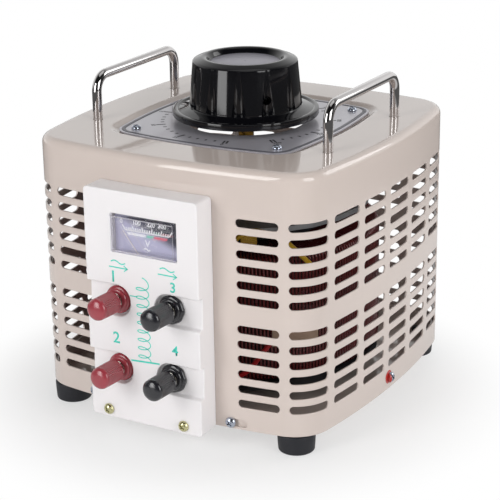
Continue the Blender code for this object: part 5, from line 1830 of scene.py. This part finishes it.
@dataclass
class Meter:
    """Voltmeter in the panel: clear front, printed face and needle."""

    middle: float = -1.2 * MM
    half: float = 22.3 * MM
    front: float = -119.5 * MM
    rear: float = -115.3 * MM
    bottom: float = 118.0 * MM
    top: float = 141.4 * MM
    wall: float = 1.4 * MM
    face: float = -113.3 * MM
    line: float = 0.95 * MM
    # width of the painted highlight at the clear front's edge
    edge_highlight_line: float = 0.55 * MM
    bars: tuple[float, float] = (128.2, 129.7)  # millimetres, as all of the print
    scale: tuple[float, float, float] = (-16.6, 13.7, 130.9)
    divisions: int = 20
    per_number: int = 4
    figure_weight: float = 0.12 * MM
    ink: float = 0.03 * MM

    def build_front(self) -> None:
        """Clear box with rounded edges, open at the back."""
        low = Vector((self.middle - self.half, self.front, self.bottom))
        high = Vector((self.middle + self.half, self.rear, self.top))
        pane = Bench.block("clear_front", low, high)
        Bench.bevel(pane, 0.5 * MM, 3, 40.0)
        near, far = Vector((self.wall, self.wall, self.wall)), Vector((-self.wall, self.wall, -self.wall))
        Bench.cut(pane, Bench.block("hollow", low + near, high + far))
        Bench.set_down(pane, 35.0)
        dress(pane, CLEAR, ["meter_glass"])

    def print_on(self, name: str, marks: Sequence[Piece], finish: Finish, depth: float) -> None:
        """Lay marks drawn in the XY plane on the face, or on the clear front.

        Args:
            name: Name of the print.
            marks: What is printed.
            finish: Ink.
            depth: Depth behind the axis, below 0 in front.
        """
        print_ = Bench.join(name, marks)
        Bench.settle(print_, (AXIS.x, AXIS.y + depth, 0.0), FACING_FRONT)
        dress(print_, finish)

    def build_edge_highlight(self) -> None:
        """Painted highlight: a pale line where the walls of the clear front meet its pane."""
        half = self.half - self.wall
        left, right = self.middle - half, self.middle + half
        low, high = self.bottom + self.wall, self.top - self.wall
        corners = [(left, low), (right, low), (right, high), (left, high)]
        line = Bench.ribbon("edge", corners, self.edge_highlight_line, self.ink, closed=True)
        self.print_on("clear_front_edge_highlight", [line], CLEAR_EDGE_HIGHLIGHT, self.front + self.ink / 2.0)

    def bar(self, left: float, right: float, slant_left: float, slant_right: float) -> Piece:
        """Coloured bar under the scale, with slanted ends.

        Args:
            left: Upper left end, in millimetres as the rest.
            right: Upper right end.
            slant_left: Slant of the left end.
            slant_right: Slant of the right end.

        Returns:
            The bar.
        """
        low, high = self.bars
        points = [(left + slant_left, low), (right - slant_right, low), (right, high), (left, high)]
        obj = Bench.outline("bar", [(x * MM, z * MM, 0.0) for x, z in points], closed=True)
        Bench.pick(obj, Pick.FACES)
        Bench.extrude((0.0, 0.0, self.ink))
        Bench.tidy(obj)
        return obj

    def build_print(self) -> None:
        """Scale, numbers and coloured bars."""
        left, right, level = self.scale
        pivot = Vector((-1.2, 108.6, 0.0))
        marks = [Bench.ribbon("base", in_mm([(left, level), (right, level)]), self.line, self.ink)]
        for i in range(self.divisions + 1):
            numbered = i % self.per_number == 0
            foot = Vector((left + (right - left) * i / self.divisions, level, 0.0))
            tall = 3.6 if i in (0, self.divisions) else (3.0 if numbered else 1.9)
            head = foot + (foot - pivot).normalized() * tall
            width = self.line * (1.0 if numbered else 0.8)
            marks.append(Bench.ribbon("tick", [foot * MM, head * MM], width, self.ink))
        figures = [("0", -19.3, 135.7, 3.8), ("100", -8.7, 136.0, 3.8), ("220", 1.2, 136.2, 3.8),
                   ("300", 8.9, 136.4, 3.8), ("V", -1.4, 124.2, 5.8)]
        for text, x, z, size in figures:
            place = (x * MM, z * MM, 0.0)
            marks.append(Bench.word("figure", text, size * MM, place, 0.0, self.ink / 2.0,
                                    self.figure_weight))
        wave = in_mm([(-3.8 + i * 0.2, 120.8 + 0.55 * math.sin(i / 10.0 * math.pi)) for i in range(21)])
        marks.append(Bench.ribbon("wave", wave, self.line, self.ink))
        self.print_on("meter_scale", marks + [self.bar(-15.8, -2.5, 1.1, 0.0)], WHITE_INK, self.face)
        self.print_on("meter_green_bar", [self.bar(-1.8, 2.7, 0.0, 0.0)], GREEN_INK, self.face)
        self.print_on("meter_red_bar", [self.bar(3.3, 12.8, 0.0, 1.0)], RED_INK, self.face)

    def build(self) -> None:
        """Front, the painted highlight at its edge, and the print."""
        self.build_front()
        self.build_edge_highlight()
        self.build_print()


@dataclass
class Toroid:
    """Winding of enamelled wire on the wrapped core, with its tag."""

    turns: int = 232
    start: float = math.radians(-52.0)
    outer: float = 83.0 * MM
    inner: float = 37.9 * MM
    bottom: float = 30.7 * MM
    top: float = 108.7 * MM
    wire: float = 0.92 * MM
    bend: float = 3.0 * MM
    tag_angles: tuple[float, float] = (math.radians(-50.5), math.radians(-30.3))
    tag_levels: tuple[float, float] = (53.0 * MM, 66.0 * MM)
    tag_gaps: tuple[float, float] = (1.3 * MM, 1.9 * MM)

    def build_winding(self) -> None:
        """One turn of wire, repeated round the core."""
        b, c = self.bend, self.bend * 0.3
        loop = [(self.outer, self.bottom + b), (self.outer, self.top - b), (self.outer - c, self.top - c),
                (self.outer - b, self.top), (self.inner + b, self.top), (self.inner + c, self.top - c),
                (self.inner, self.top - b), (self.inner, self.bottom + b), (self.inner + c, self.bottom + c),
                (self.inner + b, self.bottom), (self.outer - b, self.bottom),
                (self.outer - c, self.bottom + c)]
        pitch = 2.0 * math.pi / self.turns
        path, shares = [], []
        for i, (radius, level) in enumerate(loop + loop[:1]):
            angle = self.start - pitch * i / len(loop)
            path.append((radius * math.cos(angle), radius * math.sin(angle), level))
            shares.append(radius / self.outer)
        turn = Bench.tube("wire_turns", path, self.wire, shares, 1)
        Bench.clear()
        bpy.ops.object.empty_add(location=ORIGIN, rotation=(0.0, 0.0, -pitch))
        step = bpy.context.object
        Bench.modify(turn, "ARRAY", count=self.turns, use_relative_offset=False, use_object_offset=True,
                     offset_object=step, use_merge_vertices=True, merge_threshold=0.02 * MM)
        Bench.drop(step)
        Bench.set_down(turn, 70.0, even=False)
        dress(turn, WIRE, ["winding"])

    def build_tag(self) -> None:
        """Pressboard tag tied round the winding."""
        near, far = (self.outer + gap for gap in self.tag_gaps)
        low, high = self.tag_levels
        start, end = self.tag_angles
        corners = [ray(end) * radius + up(level)
                   for radius, level in ((near, low), (far, low), (far, high), (near, high))]
        tag = Bench.outline("pressboard_tag", corners, closed=True)
        Bench.pick(tag, Pick.FACES)
        bpy.ops.mesh.spin(steps=16, angle=end - start, center=ORIGIN, axis=UPWARDS)
        Bench.tidy(tag)
        Bench.bevel(tag, 0.2 * MM, 2, 50.0)
        Bench.set_down(tag, 40.0, even=False)
        dress(tag, PRESSBOARD)

    def build(self) -> None:
        """Winding and tag."""
        self.build_winding()
        self.build_tag()


@dataclass
class BrushSpring:
    """Coil spring over the carbon brush, which shortens as the brush rises."""

    curls: int = 3
    curl_points: int = 12
    wire: float = 0.4 * MM
    travel: float = 1.5 * MM

    def build(self) -> None:
        """Coil between the arm and the brush, held at its upper end."""
        low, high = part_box("brush_spring")
        middle = (low + high) / 2.0
        radius = (high.x - low.x) / 2.0 - self.wire
        start, rise = low.z + self.wire, high.z - low.z - 2.0 * self.wire
        count = self.curls * self.curl_points
        path = []
        for i in range(count + 1):
            angle = 2.0 * math.pi * i / self.curl_points
            path.append((middle.x + radius * math.cos(angle), middle.y + radius * math.sin(angle),
                         start + rise * i / count))
        coil = Bench.tube("coil_spring", path, self.wire, smooth=True)
        Bench.smooth(coil, 60.0)
        dress(coil, STEEL, ["brush_spring"], Body.ROTOR.value)
        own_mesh(coil)


def finish_nodes(nodes: dict[str, Piece]) -> None:
    """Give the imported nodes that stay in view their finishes.

    Args:
        nodes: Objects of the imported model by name.
    """
    posts = [name for name, _, _ in Posts().places()]
    rows: list[tuple[Finish, list[str]]] = [
        (ALUMINIUM, ["pedestal", "clamp_plate", "brush_arm"]),
        (CORE_WRAP, ["core"]),
        (FIBRE, ["lower_insulating_ring", "upper_insulating_ring"]),
        (STEEL, ["shaft", "knob_set_screw"]),
        (BRASS, ["shaft_collar", "brush_holder"]),
        (BRONZE, ["lower_bearing", "upper_bearing"]),
        (GRAPHITE, ["carbon_brush"]),
        (STYRENE, ["meter_case"]),
        # The meter face carries painted shade, darkest at its top right.
        (METER_FACE_WITH_PAINTED_SHADE, ["meter_face"]),
        (CREAM_PAINT, ["meter_needle"]),
        (NICKEL, [part + name for name in posts for part in ("post_stem_", "post_insert_")]),
        (RED_PVC, ["red_lead"]),
        (YELLOW_PVC, ["yellow_lead"]),
    ]
    for finish, names in rows:
        for name in names:
            mesh = nodes[name].data
            mesh.materials.clear()
            mesh.materials.append(finish.make())
            LOG.info("node %s: %s", name, finish.name)


@dataclass
class Studio:
    """Pale floor, soft light and the camera of the photograph."""

    camera_place: tuple[float, float, float] = (0.51286, -0.865417, 0.44543)
    camera_turn: tuple[float, float, float] = (1.2322093, 0.0134173, 0.5195478)
    lens: float = 121.588
    sensor: float = 36.0
    aim: float = 0.1
    backwards: tuple[float, float, float] = (-0.5, 0.86, 0.0)
    floor_size: float = 8.0
    floor_gap: float = 0.2 * MM

    def build_camera(self) -> None:
        """Camera at the photograph's angle."""
        Bench.clear()
        bpy.ops.object.camera_add(location=self.camera_place, rotation=self.camera_turn)
        camera = Bench.take("photo_camera")
        camera.data.lens = self.lens
        camera.data.sensor_width = self.sensor
        camera.data.clip_start, camera.data.clip_end = 0.01, 50.0
        bpy.context.scene.camera = camera

    def build_light(self) -> None:
        """Soft boxes around and above, and a world that is white where it is seen."""
        boxes = [
            ("key_box", (-0.42, -1.2, 0.5), (0.5, 0.95), 7.4),
            ("fill_box", (1.25, -0.45, 0.6), (0.7, 0.9), 7.9),
            ("top_box", (0.05, 0.15, 1.5), (0.9, 0.9), 1.4),
            ("back_box", (1.0, 1.1, 0.8), (0.7, 0.7), 4.0),
        ]
        for name, place, size, power in boxes:
            Bench.clear()
            bpy.ops.object.light_add(type="AREA", location=place)
            lamp = Bench.take(name)
            lamp.data.shape = "RECTANGLE"
            lamp.data.size, lamp.data.size_y = size
            lamp.data.energy = power
            aim = up(self.aim) - Vector(place)
            lamp.rotation_euler = aim.to_track_quat("-Z", "Y").to_euler()
        world = bpy.data.worlds.new("studio_world")
        world.use_nodes = True
        bpy.context.scene.world = world
        tree = world.node_tree
        shade = tree.nodes["Background"]
        rays = add_node(tree, "ShaderNodeLightPath", {})
        seen = add_node(tree, "ShaderNodeMath", {"operation": "MAXIMUM"},
                        {0: rays.outputs["Is Camera Ray"], 1: rays.outputs["Is Transmission Ray"]})
        way = add_node(tree, "ShaderNodeTexCoord", {}).outputs["Generated"]
        height = add_node(tree, "ShaderNodeSeparateXYZ", {}, {0: way}).outputs["Z"]
        sky = add_node(tree, "ShaderNodeMapRange", {"From Max": 0.75, "To Min": 0.66, "To Max": 0.18},
                       {"Value": height})
        towards = add_node(tree, "ShaderNodeVectorMath", {"operation": "DOT_PRODUCT", 1: self.backwards},
                           {0: way})
        backdrop = add_node(tree, "ShaderNodeMapRange", {"From Min": -0.1, "From Max": 0.5, "To Min": 0.04},
                            {"Value": towards.outputs["Value"]})
        overhead = add_node(tree, "ShaderNodeMapRange",
                            {"From Min": 0.35, "From Max": 0.8, "To Min": 1.0, "To Max": 0.3},
                            {"Value": height})
        mirrored = add_node(tree, "ShaderNodeMath", {"operation": "MULTIPLY"},
                            {0: backdrop.outputs[0], 1: overhead.outputs[0]})
        unseen = add_node(tree, "ShaderNodeMix", {"data_type": "FLOAT"},
                          {0: rays.outputs["Is Glossy Ray"], 2: sky.outputs[0], 3: mirrored.outputs[0]})
        level = add_node(tree, "ShaderNodeMix", {"data_type": "FLOAT", 3: 1.0},
                         {0: seen.outputs[0], 2: unseen.outputs[0]})
        tree.links.new(level.outputs[0], shade.inputs["Strength"])
        shade.inputs["Color"].default_value = (1.0, 1.0, 1.0, 1.0)

    def build_floor(self) -> None:
        """White floor that takes the shadow."""
        Bench.clear()
        bpy.ops.mesh.primitive_grid_add(x_subdivisions=4, y_subdivisions=4, size=self.floor_size,
                                        location=(0.0, 0.0, -self.floor_gap))
        floor = Bench.take("studio_floor")
        material = bpy.data.materials.new("white_floor")
        material.use_nodes = True
        tree = material.node_tree
        shader = tree.nodes["Principled BSDF"]
        shader.inputs["Base Color"].default_value = linear("FAFAFA")
        shader.inputs["Roughness"].default_value = 0.6
        shader.inputs["Specular IOR Level"].default_value = 0.2
        rays = add_node(tree, "ShaderNodeLightPath", {})
        direct = add_node(tree, "ShaderNodeMath", {"operation": "MAXIMUM"},
                          {0: rays.outputs["Is Camera Ray"], 1: rays.outputs["Is Transmission Ray"]})
        seen = add_node(tree, "ShaderNodeMath", {"operation": "MAXIMUM"},
                        {0: direct.outputs[0], 1: rays.outputs["Is Glossy Ray"]})
        place = add_node(tree, "ShaderNodeTexCoord", {}).outputs["Object"]
        away = add_node(tree, "ShaderNodeVectorMath", {"operation": "LENGTH"}, {0: place}).outputs["Value"]
        fade = add_node(tree, "ShaderNodeMapRange",
                        {"interpolation_type": "SMOOTHSTEP", "From Min": 0.11, "From Max": 0.19, "To Min": 0.55,
                         "To Max": 1.0}, {"Value": away})
        share = add_node(tree, "ShaderNodeMath", {"operation": "MULTIPLY"},
                         {0: seen.outputs[0], 1: fade.outputs[0]})
        mirrored = add_node(tree, "ShaderNodeMapRange",
                            {"From Min": 0.4, "From Max": 0.56, "To Min": 0.7, "To Max": 0.12}, {"Value": away})
        level = add_node(tree, "ShaderNodeMix", {"data_type": "FLOAT", 2: 1.0},
                         {0: rays.outputs["Is Glossy Ray"], 3: mirrored.outputs[0]})
        white = add_node(tree, "ShaderNodeEmission", {}, {"Strength": level.outputs[0]})
        mix = add_node(tree, "ShaderNodeMixShader", {},
                       {0: share.outputs[0], 1: shader.outputs[0], 2: white.outputs[0]})
        tree.links.new(mix.outputs[0], tree.nodes["Material Output"].inputs["Surface"])
        floor.data.materials.append(material)

    def build(self) -> None:
        """Floor, light and camera."""
        bpy.context.scene.view_settings.view_transform = "Standard"
        self.build_camera()
        self.build_light()
        self.build_floor()


def main() -> None:
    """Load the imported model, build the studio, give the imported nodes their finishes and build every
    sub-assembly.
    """
    logging.basicConfig(level=logging.INFO, format="%(message)s")
    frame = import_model()
    Studio().build()
    finish_nodes(frame["nodes"])
    for assembly in (Cover(), Screws(), Dial(), Knob(), Panel(), Posts(), Meter(), Toroid(), BrushSpring()):
        LOG.info("building %s", type(assembly).__name__)
        assembly.build()


if __name__ == "__main__":
    main()
